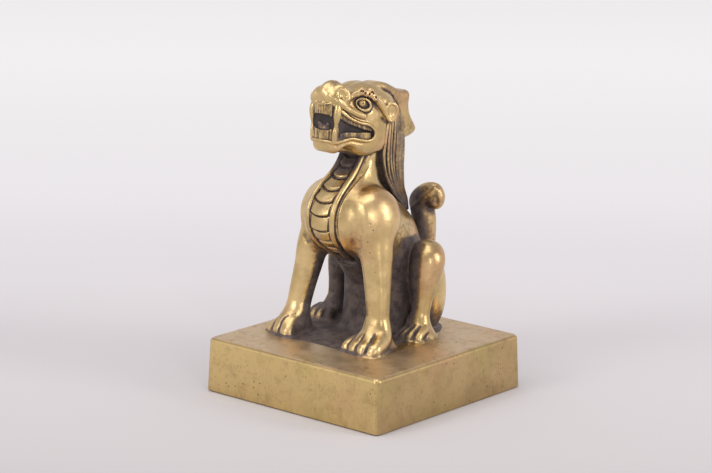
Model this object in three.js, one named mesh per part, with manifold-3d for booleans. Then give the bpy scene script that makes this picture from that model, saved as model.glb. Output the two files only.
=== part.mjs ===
// A brass seal stamp: a square seal block with a seated mythical beast as its grip.
// Millimetres, +Z up. The origin is the middle of the printing face, which lies in z = 0.
// The beast faces -Y and its left side is +X. The beast is off the block's middle towards -X.
import * as THREE from 'three';
import { mergeVertices } from 'three/addons/utils/BufferGeometryUtils.js';
import Module from 'manifold-3d';

const wasm = await Module();
wasm.setup();

// Seal block
const blockSide = 70;
const blockHeight = 17.3;
const blockTaper = 0.6; // how far each side draws in from the bottom to the top
const blockCorner = 1.6; // radius of the upright corners
const blockEdge = 1.1; // rounding of the top edges
const blockFoot = 0.5; // rounding of the bottom edges
const faceRim = 3; // width of the printing face's border
const faceDepth = 1.2; // depth of the cut ground of the printing face
const faceLine = 2; // width of the raised lines of the printing face
const faceCells = 3; // square spirals along each side of the printing face

// The figure on the block, in its own frame: x to its left, y to its back, z up from the block's top
const figureOffset = -5; // where the figure's middle plane lies on the block
const clearance = 0.3; // gap between members where one is let into the other

// Trunk
const chestHeight = 38; // middle of the chest above the block
const chestBack = -4.2; // middle of the chest along y
const chestHalfWidth = 13;
const chestHalfDepth = 12.2;
const rumpHeight = 14; // middle of the rump above the block
const rumpBack = 16;
const rumpHalfWidth = 12.3;
const rumpHalfDepth = 13.8;
const bellySwell = 1.6; // how far the belly stands out in front of the rump's own depth
const withersHeight = 47; // top of the back, under the mane
const withersBack = 14;
const skirtSpread = 2.5; // how far the trunk's foot flares where it meets the block

// Chest band
const bandHalfWidth = 4.7;
const bandThickness = 3; // depth of a plate, most of it let into the chest
const bandStand = 0.7; // how far the plates stand out of the chest
const plateCount = 8;
const plateLap = 0.55; // how far each plate stands out over the next one down
const cordRadius = 0.85; // the raised cords along the band

// Forelegs
const stanceHalf = 16; // from the middle plane to the middle of a forepaw
const foreBack = -6.8; // middle of a foreleg's ankle along y
const rightForeStep = 2.4; // how far the right forepaw stands in front of the left one
const rightForeIn = 1.9; // how much closer to the middle plane the right forepaw stands
const foreAnkleHeight = 7;
const foreAnkleRadius = 3.5;
const elbowHeight = 25;
const elbowRadius = 4.25;
const shoulderHeight = 38.5;
const shoulderHalfWidth = 6.3;
const shoulderHalfDepth = 9.4;
const shoulderBack = -2.6; // middle of the shoulder along y
const shoulderHalf = 10.4; // from the middle plane to the middle of a shoulder
const forepawLength = 9.8; // from the ankle to the toe tips
const forepawHalfWidth = 6.2;

// Hind legs
const hindHalf = 17.1; // from the middle plane to the middle of a hind ankle
const hindBack = 11.8;
const hindAnkleHeight = 5.5;
const hindAnkleRadius = 3.1;
const kneeHeight = 24.6;
const kneeRadius = 5.5;
const kneeBack = 15.4;
const thighBack = 19;
const thighHeight = 13.6;
const thighHalfWidth = 5.7;
const thighHalfDepth = 7.1;
const thighHalfHeight = 14;
const hindpawLength = 7.2;
const hindpawHalfWidth = 5.2;

// Toes of all paws
const toeCount = 4;
const toeHeight = 4.6;
const toeLength = 4.4;
const clawLength = 1.1;
const clawTilt = 0.5; // how far the claws point down, in radians

// Neck
const neckRadius = 6.1;
const neckBack = 2.5;
const neckHeight = 55; // where the neck is thinnest

// Head, measured from the corner of the mouth
const mouthHeight = 65.2; // corner of the mouth above the block
const mouthBack = 0.4;
const mouthHalfWidth = 8.2; // half the width of the head at the corner of the mouth
const muzzleLength = 16; // from the corner of the mouth to the front of the lips
const muzzleHalfWidth = 4.9;
const browRise = 15; // from the corner of the mouth up to the forehead
const snoutRise = 13; // from the corner of the mouth up to the middle of the snout
const snoutHalfHeight = 3;
const jawDrop = 2.9; // from the corner of the mouth down to the middle of the chin
const jawHalfHeight = 2.7;
const cheekDrop = 7.6; // from the corner of the mouth down to the angle of the jaw
const skullLength = 13; // from the corner of the mouth to the back of the skull
const mouthCoreHalf = 4.2; // half the width of the solid middle of the mouth
const mouthHollow = 6; // depth of the hollow behind the front teeth
const lipRadius = 0.75;
const toothWidth = 1.3;
const incisorLength = 3.3;
const molarLength = 1.9;
const incisorCount = 7;
const molarCount = 7;
const fangRadius = 1.15;
const tongueHalfWidth = 3.1;
const tongueThickness = 1.5;
const noseRadius = 2.3;
const nostrilRadius = 1.1;
const eyeRadius = 2.7;
const eyeBall = 1.35;
const browRadius = 1.35;
const browKnobs = 5;
const earHalfHeight = 3.3;
const earHalfWidth = 2.3;
const earThickness = 1.3;

// Crest and mane
const crestHalfThickness = 3.6;
const crestReach = 22; // from the forehead to the point at the back
const crestRound = 1.1;
const maneHalfWidth = 6.4;
const maneBack = 21.6; // back of the mane along y
const maneTipHeight = 36.5;
const maneTipBack = 25.4;
const strandCount = 15;
const strandRadius = 1.15;

// Tail
const tailRadius = 3.4;
const tailSide = 3.6; // middle of the tail's stem along x
const tailBack = 30.2;
const tailTop = 42.8;
const tailCurl = 2.7; // radius of the bend at the tail's end
const tailCurlRadius = 2.62; // thickness of the tail in the bend, as a radius
const tailCurlTurns = 1.15; // the bend in half turns
const tailLean = 0.45; // the bend's turn from the left side towards the back, in radians

// Faces along and round the modelled forms
const roundSides = 16;
const limbSides = 10;
const thinSides = 6;

const brass = { color: 0xa98f4f, roughness: 0.34, metalness: 1 };
const darkBrass = { color: 0x5c4a30, roughness: 0.55, metalness: 1 };
const brightBrass = { color: 0xc4a860, roughness: 0.26, metalness: 1 };

// Turns a closed geometry into a solid that can be joined and cut.
function solidOf(geometry) {
  geometry.deleteAttribute('normal');
  geometry.deleteAttribute('uv');
  const merged = mergeVertices(geometry, 1e-4);
  return new wasm.Manifold(new wasm.Mesh({
    numProp: 3,
    vertProperties: new Float32Array(merged.attributes.position.array),
    triVerts: new Uint32Array(merged.index.array),
  }));
}

// The largest connected body of a solid, which drops crumbs that a cut leaves.
function largestBody(solid) {
  const bodies = solid.decompose();
  return bodies.reduce((best, body) => (body.volume() > best.volume() ? body : best));
}

const sliverWidth = 0.01; // faces thinner than this are mended
const shortEdge = 0.06; // edges shorter than this may be drawn together

// Width of a face: its height over its longest edge.
function faceWidth(points, face) {
  const corners = face.map((index) => points[index]);
  const longest = Math.max(...corners.map((point, i) => point.distanceTo(corners[(i + 1) % 3])));
  return longest > 0 ? (2 * new THREE.Triangle(...corners).getArea()) / longest : 0;
}

// The face's corners, turned so that the edge that the choice picks comes first.
function turnTo(points, face, choose) {
  const lengths = face.map((index, i) => points[index].distanceTo(points[face[(i + 1) % 3]]));
  const first = lengths.indexOf(choose(...lengths));
  return { corners: [0, 1, 2].map((i) => face[(first + i) % 3]), length: lengths[first] };
}

// Draws a sliver's short edge together, unless that would pinch the surface.
function closeEdge(points, faces, sliver) {
  const { corners: [keep, drop], length } = turnTo(points, sliver, Math.min);
  const around = (corner) => new Set(faces.filter((face) => face.includes(corner)).flat());
  const shared = [...around(keep)].filter((index) => around(drop).has(index));
  if (length > shortEdge || shared.length !== 4) return null;
  return faces
    .map((face) => face.map((index) => (index === drop ? keep : index)))
    .filter((face) => new Set(face).size === 3);
}

// Shares a sliver's longest edge anew between the sliver and the face beyond it, where that widens them.
function swapEdge(points, faces, sliver) {
  const { corners: [a, b, c] } = turnTo(points, sliver, Math.max);
  const other = faces.find((face) => face.some((index, i) => index === b && face[(i + 1) % 3] === a));
  const d = other.find((index) => index !== a && index !== b);
  const swapped = [[a, d, c], [d, b, c]];
  const joined = faces.some((face) => face.includes(c) && face.includes(d));
  const narrowest = Math.min(...swapped.map((face) => faceWidth(points, face)));
  if (joined || narrowest <= faceWidth(points, sliver)) return null;
  return [...faces.filter((face) => face !== sliver && face !== other), ...swapped];
}

// Cuts leave slivers. This mends them one by one, so that every face keeps a real width where that can be.
function withoutSlivers(points, faces) {
  let kept = faces;
  const left = new Set();
  const isSliver = (face) => !left.has(face) && faceWidth(points, face) < sliverWidth;
  for (let sliver = kept.find(isSliver); sliver; sliver = kept.find(isSliver)) {
    const mended = closeEdge(points, kept, sliver) ?? swapEdge(points, kept, sliver);
    if (!mended) left.add(sliver);
    kept = mended ?? kept;
  }
  return kept;
}

function geometryOf(solid) {
  const mesh = solid.getMesh();
  const points = [];
  for (let i = 0; i < mesh.vertProperties.length; i += 3) {
    points.push(new THREE.Vector3(...mesh.vertProperties.slice(i, i + 3)));
  }
  const faces = [];
  for (let i = 0; i < mesh.triVerts.length; i += 3) faces.push([...mesh.triVerts.slice(i, i + 3)]);
  const kept = withoutSlivers(points, faces);
  const used = [...new Set(kept.flat())];
  const place = new Map(used.map((index, i) => [index, i]));
  const geometry = new THREE.BufferGeometry();
  const positions = used.flatMap((index) => points[index].toArray());
  geometry.setAttribute('position', new THREE.Float32BufferAttribute(positions, 3));
  geometry.setIndex(kept.flat().map((index) => place.get(index)));
  geometry.computeVertexNormals();
  return geometry;
}

// A closed solid from rings of points, each ring with as many points, closed by a fan at each end.
function solidFromRings(rings) {
  const count = rings[0].length;
  const positions = [];
  const triangles = [];
  const add = (point) => positions.push(point.x, point.y, point.z);
  const middle = (ring) => ring
    .reduce((sum, point) => sum.add(point), new THREE.Vector3())
    .multiplyScalar(1 / count);
  rings.forEach((ring) => ring.forEach(add));
  add(middle(rings[0]));
  add(middle(rings[rings.length - 1]));
  const first = rings.length * count;
  for (let ring = 0; ring + 1 < rings.length; ring += 1) {
    for (let i = 0; i < count; i += 1) {
      const next = (i + 1) % count;
      const low = ring * count;
      const high = low + count;
      triangles.push(low + i, low + next, high + next);
      triangles.push(low + i, high + next, high + i);
    }
  }
  for (let i = 0; i < count; i += 1) {
    const next = (i + 1) % count;
    const last = first - count;
    triangles.push(first, next, i);
    triangles.push(first + 1, last + i, last + next);
  }
  const geometry = new THREE.BufferGeometry();
  geometry.setAttribute('position', new THREE.Float32BufferAttribute(positions, 3));
  geometry.setIndex(triangles);
  return solidOf(geometry);
}

// A form that swells and tapers along a spine. Each station is [x, y, z, half width, half depth].
// The width lies along the reference direction, and square = 2 gives oval sections, more gives boxy ones.
// The sections stand square to the spine, or all face one way where facing is given.
function limb(stations, { sides = limbSides, steps = 14, square = 2, extra = 0, across = [1, 0, 0], facing } = {}) {
  const spine = new THREE.CatmullRomCurve3(stations.map(([x, y, z]) => new THREE.Vector3(x, y, z)), false, 'centripetal');
  const sizes = new THREE.CatmullRomCurve3(stations.map(([, , , w, d], i) => new THREE.Vector3(w, d, i)), false, 'centripetal');
  const reference = new THREE.Vector3(...across);
  const rings = [];
  for (let step = 0; step <= steps; step += 1) {
    const t = step / steps;
    const tangent = facing ? new THREE.Vector3(...facing) : spine.getTangent(t);
    const centre = spine.getPoint(t);
    const size = sizes.getPoint(t);
    if (step === 0) centre.addScaledVector(tangent, -extra);
    if (step === steps) centre.addScaledVector(tangent, extra);
    const side = reference.clone().addScaledVector(tangent, -reference.dot(tangent)).normalize();
    const other = new THREE.Vector3().crossVectors(tangent, side);
    const ring = [];
    for (let i = 0; i < sides; i += 1) {
      const angle = (2 * Math.PI * i) / sides;
      const c = Math.cos(angle);
      const s = Math.sin(angle);
      const reach = (Math.abs(c) ** square + Math.abs(s) ** square) ** (-1 / square);
      ring.push(centre.clone()
        .addScaledVector(side, (size.x + extra) * c * reach)
        .addScaledVector(other, (size.y + extra) * s * reach));
    }
    rings.push(ring);
  }
  return solidFromRings(rings);
}

// An egg-shaped solid, turned by the angles in turn.
function egg([x, y, z], [rx, ry, rz], { extra = 0, turn = [0, 0, 0], sides = 10 } = {}) {
  const geometry = new THREE.SphereGeometry(1, sides, Math.max(4, Math.round(sides * 0.55)));
  const matrix = new THREE.Matrix4().compose(
    new THREE.Vector3(x, y, z),
    new THREE.Quaternion().setFromEuler(new THREE.Euler(...turn)),
    new THREE.Vector3(rx + extra, ry + extra, rz + extra),
  );
  return solidOf(geometry.applyMatrix4(matrix));
}

function box(xMin, xMax, yMin, yMax, zMin, zMax) {
  const geometry = new THREE.BoxGeometry(xMax - xMin, yMax - yMin, zMax - zMin);
  geometry.translate((xMin + xMax) / 2, (yMin + yMax) / 2, (zMin + zMax) / 2);
  return solidOf(geometry);
}

const join = (solids) => solids.reduce((whole, solid) => whole.add(solid));
const mix = (a, b, t) => a + (b - a) * t;
const mirrored = (side, points) => points.map(([x, ...rest]) => [x * side, ...rest]);

// Seal block

function roundedSquare(half, radius, z) {
  const points = [];
  const stepsPerCorner = 4;
  for (let corner = 0; corner < 4; corner += 1) {
    for (let step = 0; step <= stepsPerCorner; step += 1) {
      const angle = (Math.PI / 2) * (corner + step / stepsPerCorner);
      const middle = half - radius;
      const middleAngle = (Math.PI / 2) * (corner + 0.5);
      points.push(new THREE.Vector3(
        Math.SQRT2 * middle * Math.cos(middleAngle) + radius * Math.cos(angle),
        Math.SQRT2 * middle * Math.sin(middleAngle) + radius * Math.sin(angle),
        z,
      ));
    }
  }
  return points;
}

function blockBody() {
  const half = blockSide / 2;
  const sideAt = (z) => half - (blockTaper * z) / blockHeight;
  const rings = [];
  rings.push(roundedSquare(half - blockFoot, blockCorner, 0));
  rings.push(roundedSquare(sideAt(blockFoot), blockCorner, blockFoot));
  const edgeSteps = 3;
  for (let step = 0; step <= edgeSteps; step += 1) {
    const angle = (Math.PI / 2) * (step / edgeSteps);
    const z = blockHeight - blockEdge * (1 - Math.sin(angle));
    const inset = blockEdge * (1 - Math.cos(angle));
    rings.push(roundedSquare(sideAt(z) - inset, blockCorner, z));
  }
  return solidFromRings(rings);
}

// One raised square spiral of the printing face, a common border motif, as a flat outline.
function spiralOutline(cell) {
  const outline = new THREE.Shape();
  const half = cell / 2 - faceLine * 0.25;
  const inner = faceLine / 2;
  const hook = half - 2 * faceLine;
  outline.moveTo(-half, -half);
  outline.lineTo(half, -half);
  outline.lineTo(half, half);
  outline.lineTo(-hook - faceLine, half);
  outline.lineTo(-hook - faceLine, -inner);
  outline.lineTo(inner, -inner);
  outline.lineTo(inner, inner);
  outline.lineTo(-hook, inner);
  outline.lineTo(-hook, half - faceLine);
  outline.lineTo(half - faceLine, half - faceLine);
  outline.lineTo(half - faceLine, -half + faceLine);
  outline.lineTo(-half, -half + faceLine);
  outline.closePath();
  return outline;
}

function faceRelief() {
  const half = blockSide / 2 - faceRim;
  const cell = (2 * half - faceLine) / faceCells;
  const bars = [];
  for (let row = 0; row < faceCells; row += 1) {
    for (let column = 0; column < faceCells; column += 1) {
      const geometry = new THREE.ExtrudeGeometry(spiralOutline(cell), { depth: faceDepth * 1.5, bevelEnabled: false });
      const quarter = ((row + column) % 4) * (Math.PI / 2);
      geometry.rotateZ(quarter);
      geometry.translate((column - (faceCells - 1) / 2) * cell, (row - (faceCells - 1) / 2) * cell, 0);
      bars.push(solidOf(geometry));
    }
  }
  return join(bars);
}

function sealBlock() {
  const ground = blockSide / 2 - faceRim;
  return blockBody()
    .subtract(box(-ground, ground, -ground, ground, -1, faceDepth))
    .add(faceRelief());
}

// Trunk and neck

// The trunk is a stack of level sections, each given by its height, front, back and half width.
function trunk(extra) {
  const level = (height, front, back, halfWidth) => [0, (front + back) / 2, height, halfWidth, (back - front) / 2];
  const chestFront = chestBack - chestHalfDepth;
  const bellyFront = rumpBack - rumpHalfDepth - bellySwell;
  const rumpEnd = rumpBack + rumpHalfDepth;
  const barrel = limb([
    level(withersHeight, chestFront + 9, withersBack - 3.5, chestHalfWidth * 0.45),
    level(mix(withersHeight, chestHeight, 0.4), chestFront + 3.5, withersBack + 2, chestHalfWidth * 0.8),
    level(chestHeight, chestFront + 1, mix(withersBack, rumpEnd, 0.42), chestHalfWidth),
    level(mix(chestHeight, rumpHeight, 0.3), chestFront + 3.2, mix(withersBack, rumpEnd, 0.72), chestHalfWidth),
    level(mix(chestHeight, rumpHeight, 0.5), chestFront + 9.5, mix(withersBack, rumpEnd, 0.86), rumpHalfWidth),
    level(mix(chestHeight, rumpHeight, 0.7), bellyFront - 0.5, mix(withersBack, rumpEnd, 0.95), rumpHalfWidth),
    level(rumpHeight, bellyFront, rumpEnd, rumpHalfWidth),
    level(rumpHeight * 0.4, bellyFront - 0.5, rumpEnd + 0.4, rumpHalfWidth),
    level(-1, bellyFront - skirtSpread, rumpEnd + 0.8, rumpHalfWidth + skirtSpread),
  ], { sides: roundSides, steps: 12, extra, facing: [0, 0, -1] });
  const breast = egg(
    [0, chestBack - 0.9, chestHeight + 1.6],
    [chestHalfWidth * 0.95, chestHalfDepth * 0.91, chestHalfDepth * 0.94],
    { extra, sides: 14 },
  );
  return barrel.add(breast);
}

function neck(extra) {
  return limb([
    [0, chestBack + 0.6, chestHeight + 4, neckRadius * 1.75, neckRadius * 1.5],
    [0, neckBack - 3.2, mix(chestHeight, neckHeight, 0.6), neckRadius * 1.5, neckRadius * 1.38],
    [0, neckBack - 1.1, mix(chestHeight, neckHeight, 0.82), neckRadius * 1.2, neckRadius * 1.18],
    [0, neckBack, neckHeight, neckRadius, neckRadius * 1.08],
    [0, neckBack + 0.6, mouthHeight - cheekDrop + 3, neckRadius * 1.02, neckRadius * 1.1],
  ], { sides: roundSides, steps: 7, extra });
}

// Chest band: the plates and the cords follow one line down the chest, given here for x = 0.
const breastFront = chestBack - 0.9 - chestHalfDepth * 0.91;
const bandLine = [
  [neckBack - neckRadius - 0.4, neckHeight + 1],
  [neckBack - neckRadius * 1.18 - 3, neckHeight - 4],
  [breastFront + 3, chestHeight + 9.3],
  [breastFront - 0.1, chestHeight + 3.5],
  [breastFront + 0.1, chestHeight - 2],
  [breastFront + 3.4, chestHeight - 7.7],
  [breastFront + 10.5, chestHeight - 12.4],
];

function bandPoint(t, x, stand, slide = 0) {
  const curve = new THREE.CatmullRomCurve3(bandLine.map(([y, z]) => new THREE.Vector3(0, y, z)), false, 'centripetal');
  const point = curve.getPointAt(t);
  const tangent = curve.getTangentAt(t);
  const outward = new THREE.Vector3(0, tangent.z, -tangent.y);
  const fallBack = x * x * 0.045;
  point.addScaledVector(outward, stand);
  point.addScaledVector(tangent, slide);
  return new THREE.Vector3(x, point.y + fallBack, point.z);
}

const bandTaper = (t) => bandHalfWidth * (1 - 0.28 * Math.abs(2 * t - 1) ** 3);

// Rings across the band, one pair for each plate, so that each plate ends in a lip over the next one.
// What the plates are let into stays open in front of them.
function chestPlates(extra) {
  const across = 6;
  const opening = extra > 0 ? bandThickness : 0;
  const rings = [];
  for (let plate = 0; plate < plateCount; plate += 1) {
    [[0.02, 0], [0.98, plateLap]].forEach(([share, lap]) => {
      const t = (plate + share) / plateCount;
      const isEnd = (plate === 0 && share < 0.5) || (plate === plateCount - 1 && share > 0.5);
      const slide = isEnd ? extra * Math.sign(share - 0.5) : 0;
      const half = bandTaper(t) + extra;
      const ring = [];
      for (let i = 0; i <= across; i += 1) {
        const x = mix(-half, half, i / across);
        ring.push(bandPoint(t, x, bandStand + lap + extra + opening - 0.018 * x * x, slide));
      }
      for (let i = across; i >= 0; i -= 2) {
        const x = mix(-half, half, i / across);
        ring.push(bandPoint(t, x, bandStand - bandThickness - extra, slide));
      }
      rings.push(ring.reverse());
    });
  }
  return solidFromRings(rings);
}

function chestCord(side, extra) {
  const stations = [];
  const count = 9;
  for (let i = 0; i < count; i += 1) {
    const t = i / (count - 1);
    const x = (bandTaper(t) + cordRadius * 0.6) * side;
    const point = bandPoint(t, x, bandStand);
    stations.push([point.x, point.y, point.z, cordRadius, cordRadius]);
  }
  return limb(stations, { sides: thinSides, steps: 16, extra });
}

// Paws

// Toes side by side in front of a paw, each with a short claw.
function toes({ side, x, front, halfWidth, splay, extra }) {
  const spacing = (2 * halfWidth) / toeCount;
  const parts = [];
  for (let toe = 0; toe < toeCount; toe += 1) {
    const place = toe - (toeCount - 1) / 2;
    const setBack = 0.35 * place * place;
    const toeX = (x + place * spacing) * side + splay * place * side * 0.15;
    parts.push(egg(
      [toeX, front + toeLength * 0.62 + setBack, toeHeight * 0.36],
      [spacing * 0.56, toeLength * 0.62, toeHeight * 0.64],
      { extra, sides: 6 },
    ));
    const claw = new THREE.ConeGeometry(spacing * 0.3 + extra, clawLength * 2 + extra, 4);
    claw.rotateX(-Math.PI / 2);
    claw.rotateX(clawTilt);
    claw.scale(1, -1, 1);
    claw.translate(toeX, front + setBack + clawLength * 0.35, toeHeight * 0.3);
    parts.push(solidOf(claw));
  }
  return parts;
}

function foreleg(side, step, inward, extra) {
  const ankleBack = foreBack - step;
  const ankleHalf = stanceHalf - inward;
  const x = ankleHalf * side;
  // Stations between the ankle and the shoulder, by the share of the way along each.
  const shoulderX = shoulderHalf - inward;
  const between = (share, z, halfWidth, halfDepth) => [
    mix(ankleHalf, shoulderX, share ** 1.3),
    mix(ankleBack, shoulderBack, share),
    z, halfWidth, halfDepth,
  ];
  const leg = limb(mirrored(side, [
    [ankleHalf, ankleBack - 0.2, -1, foreAnkleRadius * 1.15, foreAnkleRadius * 1.25],
    [ankleHalf, ankleBack - 0.1, foreAnkleHeight * 0.5, foreAnkleRadius * 1.08, foreAnkleRadius * 1.15],
    [ankleHalf, ankleBack, foreAnkleHeight, foreAnkleRadius, foreAnkleRadius * 1.05],
    between(0.3, mix(foreAnkleHeight, elbowHeight, 0.6), mix(foreAnkleRadius, elbowRadius, 0.45), mix(foreAnkleRadius, elbowRadius, 0.6)),
    between(0.5, elbowHeight, elbowRadius, elbowRadius * 1.12),
    between(0.78, mix(elbowHeight, shoulderHeight, 0.45),
      mix(elbowRadius, shoulderHalfWidth, 0.7), mix(elbowRadius, shoulderHalfDepth, 0.5)),
    [shoulderX, shoulderBack, shoulderHeight, shoulderHalfWidth, shoulderHalfDepth],
    [shoulderX - 1.6, shoulderBack + 0.8, shoulderHeight + shoulderHalfDepth * 0.55,
      shoulderHalfWidth * 0.78, shoulderHalfDepth * 0.8],
    [shoulderX - 4, shoulderBack + 1.8, shoulderHeight + shoulderHalfDepth * 0.92,
      shoulderHalfWidth * 0.25, shoulderHalfDepth * 0.3],
  ]), { steps: 12, extra });
  const instep = limb([
    [x, ankleBack + 0.6, foreAnkleHeight * 1.05, foreAnkleRadius * 0.95, foreAnkleRadius * 0.9],
    [x, ankleBack - forepawLength * 0.3, foreAnkleHeight * 0.62, forepawHalfWidth * 0.78, foreAnkleRadius * 0.95],
    [x, ankleBack - forepawLength * 0.62, toeHeight * 0.42, forepawHalfWidth * 0.93, toeHeight * 0.62],
  ], { steps: 4, extra });
  const heel = egg(
    [x, ankleBack + 0.2, 0.4],
    [forepawHalfWidth * 0.78, foreAnkleRadius * 1.3, foreAnkleHeight * 0.62],
    { extra, sides: 8 },
  );
  const front = ankleBack - forepawLength;
  const toeParts = toes({ side, x: ankleHalf, front, halfWidth: forepawHalfWidth, splay: 0, extra });
  return join([leg, instep, heel, ...toeParts]);
}

function hindLeg(side, extra) {
  const x = hindHalf + 1.2;
  const shank = limb(mirrored(side, [
    [hindHalf + 0.6, hindBack - 0.6, -1, hindAnkleRadius * 1.15, hindAnkleRadius * 1.25],
    [hindHalf, hindBack, hindAnkleHeight, hindAnkleRadius, hindAnkleRadius * 1.05],
    [hindHalf - 0.2, mix(hindBack, kneeBack, 0.25), mix(hindAnkleHeight, kneeHeight, 0.5), hindAnkleRadius * 1.08, hindAnkleRadius * 1.15],
    [hindHalf - 0.5, mix(hindBack, kneeBack, 0.75), mix(hindAnkleHeight, kneeHeight, 0.83), kneeRadius * 0.84, kneeRadius * 0.88],
    [hindHalf - 0.7, kneeBack, kneeHeight, kneeRadius * 0.96, kneeRadius],
    [hindHalf - 1.2, kneeBack + 0.6, kneeHeight + kneeRadius * 0.72, kneeRadius * 0.5, kneeRadius * 0.55],
  ]), { steps: 10, extra });
  const thigh = egg(
    [(hindHalf - 2.4) * side, thighBack, thighHeight],
    [thighHalfWidth, thighHalfDepth, thighHalfHeight],
    { extra, sides: 12, turn: [0.12, 0, 0] },
  );
  const instep = limb(mirrored(side, [
    [hindHalf, hindBack + 0.4, hindAnkleHeight, hindAnkleRadius * 0.95, hindAnkleRadius * 0.95],
    [x, hindBack - hindpawLength * 0.32, hindAnkleHeight * 0.55, hindpawHalfWidth * 0.8, hindAnkleRadius * 0.9],
    [x + 0.3, hindBack - hindpawLength * 0.6, toeHeight * 0.36, hindpawHalfWidth * 0.92, toeHeight * 0.52],
  ]), { steps: 4, extra });
  const front = hindBack - hindpawLength;
  const toeParts = toes({ side, x: x + 0.3, front, halfWidth: hindpawHalfWidth, splay: 1, extra });
  return join([shank, thigh, instep, ...toeParts]);
}

// Tail: it rises behind the rump and ends in a curl that leans to the left side.
function tail(extra) {
  const curlHeight = tailTop - tailCurl - tailCurlRadius;
  const stations = [
    [tailSide - 2, tailBack - 4.5, rumpHeight - 3, tailRadius * 1.2, tailRadius * 1.1],
    [tailSide - 1, tailBack - 0.6, rumpHeight + 6, tailRadius * 1.05, tailRadius],
    [tailSide, tailBack, mix(rumpHeight, curlHeight, 0.62), tailRadius, tailRadius],
    [tailSide - 0.4, tailBack - 0.2, mix(rumpHeight, curlHeight, 0.86), tailRadius * 0.95, tailRadius * 0.95],
  ];
  const curlSteps = 5;
  const startX = tailSide - (tailRadius - tailCurlRadius);
  for (let step = 0; step <= curlSteps; step += 1) {
    const share = step / curlSteps;
    const angle = Math.PI * (1 - tailCurlTurns * share);
    const sideways = tailCurl * (1 + Math.cos(angle));
    stations.push([
      startX + sideways * Math.cos(tailLean),
      tailBack - 0.2 + sideways * Math.sin(tailLean),
      curlHeight + tailCurl * Math.sin(angle),
      tailCurlRadius,
      tailCurlRadius,
    ]);
  }
  const across = [-Math.sin(tailLean), Math.cos(tailLean), 0];
  return limb(stations, { sides: 10, steps: 18, extra, across });
}

// Head. Places on it are given as [x, forward, up] from the corner of the mouth.
const headPlace = (forward, up) => [mouthBack - forward, mouthHeight + up];

// Height of the upper and lower lip line above the corner of the mouth, by the share of the muzzle's length.
const upperLip = (share) => 1.6 + 1.6 * share + (snoutRise - snoutHalfHeight - 2.5) * share ** 2.2;
const lowerLip = (share) => -1.6 + 1.4 * Math.sin(Math.PI * Math.min(1, share * 0.62)) * share;
const headHalfWidth = (share) => mix(mouthHalfWidth, muzzleHalfWidth, Math.max(0, share) ** 0.85);

function headSection(forward, low, high, halfWidth) {
  const [y] = headPlace(forward, 0);
  return [0, y, mouthHeight + (low + high) / 2, halfWidth, (high - low) / 2];
}

function head(extra) {
  const top = (share) => mix(browRise, snoutRise + snoutHalfHeight, share);
  const skull = limb([
    headSection(muzzleLength + 0.6, snoutRise - snoutHalfHeight * 0.5, snoutRise + snoutHalfHeight * 0.6, muzzleHalfWidth * 0.6),
    headSection(muzzleLength - 0.7, upperLip(0.95), top(0.95) - 0.6, muzzleHalfWidth * 0.95),
    headSection(muzzleLength * 0.8, upperLip(0.8), top(0.8), headHalfWidth(0.8)),
    headSection(muzzleLength * 0.58, upperLip(0.58), top(0.6) - 0.9, headHalfWidth(0.6)),
    headSection(muzzleLength * 0.28, upperLip(0.28), top(0.3), headHalfWidth(0.28)),
    headSection(0.6, upperLip(0), browRise, mouthHalfWidth * 1.02),
    headSection(-skullLength * 0.28, -cheekDrop, browRise, mouthHalfWidth * 1.06),
    headSection(-skullLength * 0.6, -cheekDrop * 0.92, browRise * 0.9, mouthHalfWidth * 0.95),
    headSection(-skullLength * 0.9, -cheekDrop * 0.5, browRise * 0.7, mouthHalfWidth * 0.62),
    headSection(-skullLength, -cheekDrop * 0.1, browRise * 0.45, mouthHalfWidth * 0.3),
  ], { sides: roundSides, steps: 13, square: 2.5, extra, facing: [0, 1, 0] });
  if (extra > 0) return skull;
  // The closed middle of the mouth, hollowed from the front, leaves a recess along each row of side teeth.
  const [coreFront] = headPlace(muzzleLength * 0.84, 0);
  const [coreBack] = headPlace(-skullLength * 0.2, 0);
  const floor = mouthHeight + lowerLip(0) - 1;
  const roof = mouthHeight + upperLip(0.7) + 1;
  const core = box(-mouthCoreHalf, mouthCoreHalf, coreFront, coreBack, floor, roof);
  const hollow = egg(
    [0, coreFront, mouthHeight + mix(lowerLip(0.8), upperLip(0.8), 0.42)],
    [mouthCoreHalf * 0.8, mouthHollow, (upperLip(0.8) - lowerLip(0.8)) * 0.44],
    { sides: 12 },
  );
  return skull.add(core.subtract(hollow));
}

function lowerJaw(extra) {
  const chinLow = -jawDrop - jawHalfHeight;
  return limb([
    headSection(muzzleLength + 0.3, chinLow + jawHalfHeight * 0.75, lowerLip(0.95) - 0.2, muzzleHalfWidth * 0.75),
    headSection(muzzleLength - 1, chinLow + 0.2, lowerLip(0.95) + 0.3, muzzleHalfWidth),
    headSection(muzzleLength * 0.8, chinLow - 0.5, lowerLip(0.8), headHalfWidth(0.8)),
    headSection(muzzleLength * 0.58, chinLow - 1.3, lowerLip(0.58), headHalfWidth(0.58)),
    headSection(muzzleLength * 0.28, -cheekDrop * 0.98, lowerLip(0.28), headHalfWidth(0.28) * 0.98),
    headSection(0, -cheekDrop, lowerLip(0), mouthHalfWidth * 0.97),
    headSection(-skullLength * 0.22, -cheekDrop * 0.9, lowerLip(0) - 0.6, mouthHalfWidth * 0.86),
  ], { sides: 12, steps: 8, square: 2.5, extra, facing: [0, 1, 0] });
}

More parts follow.
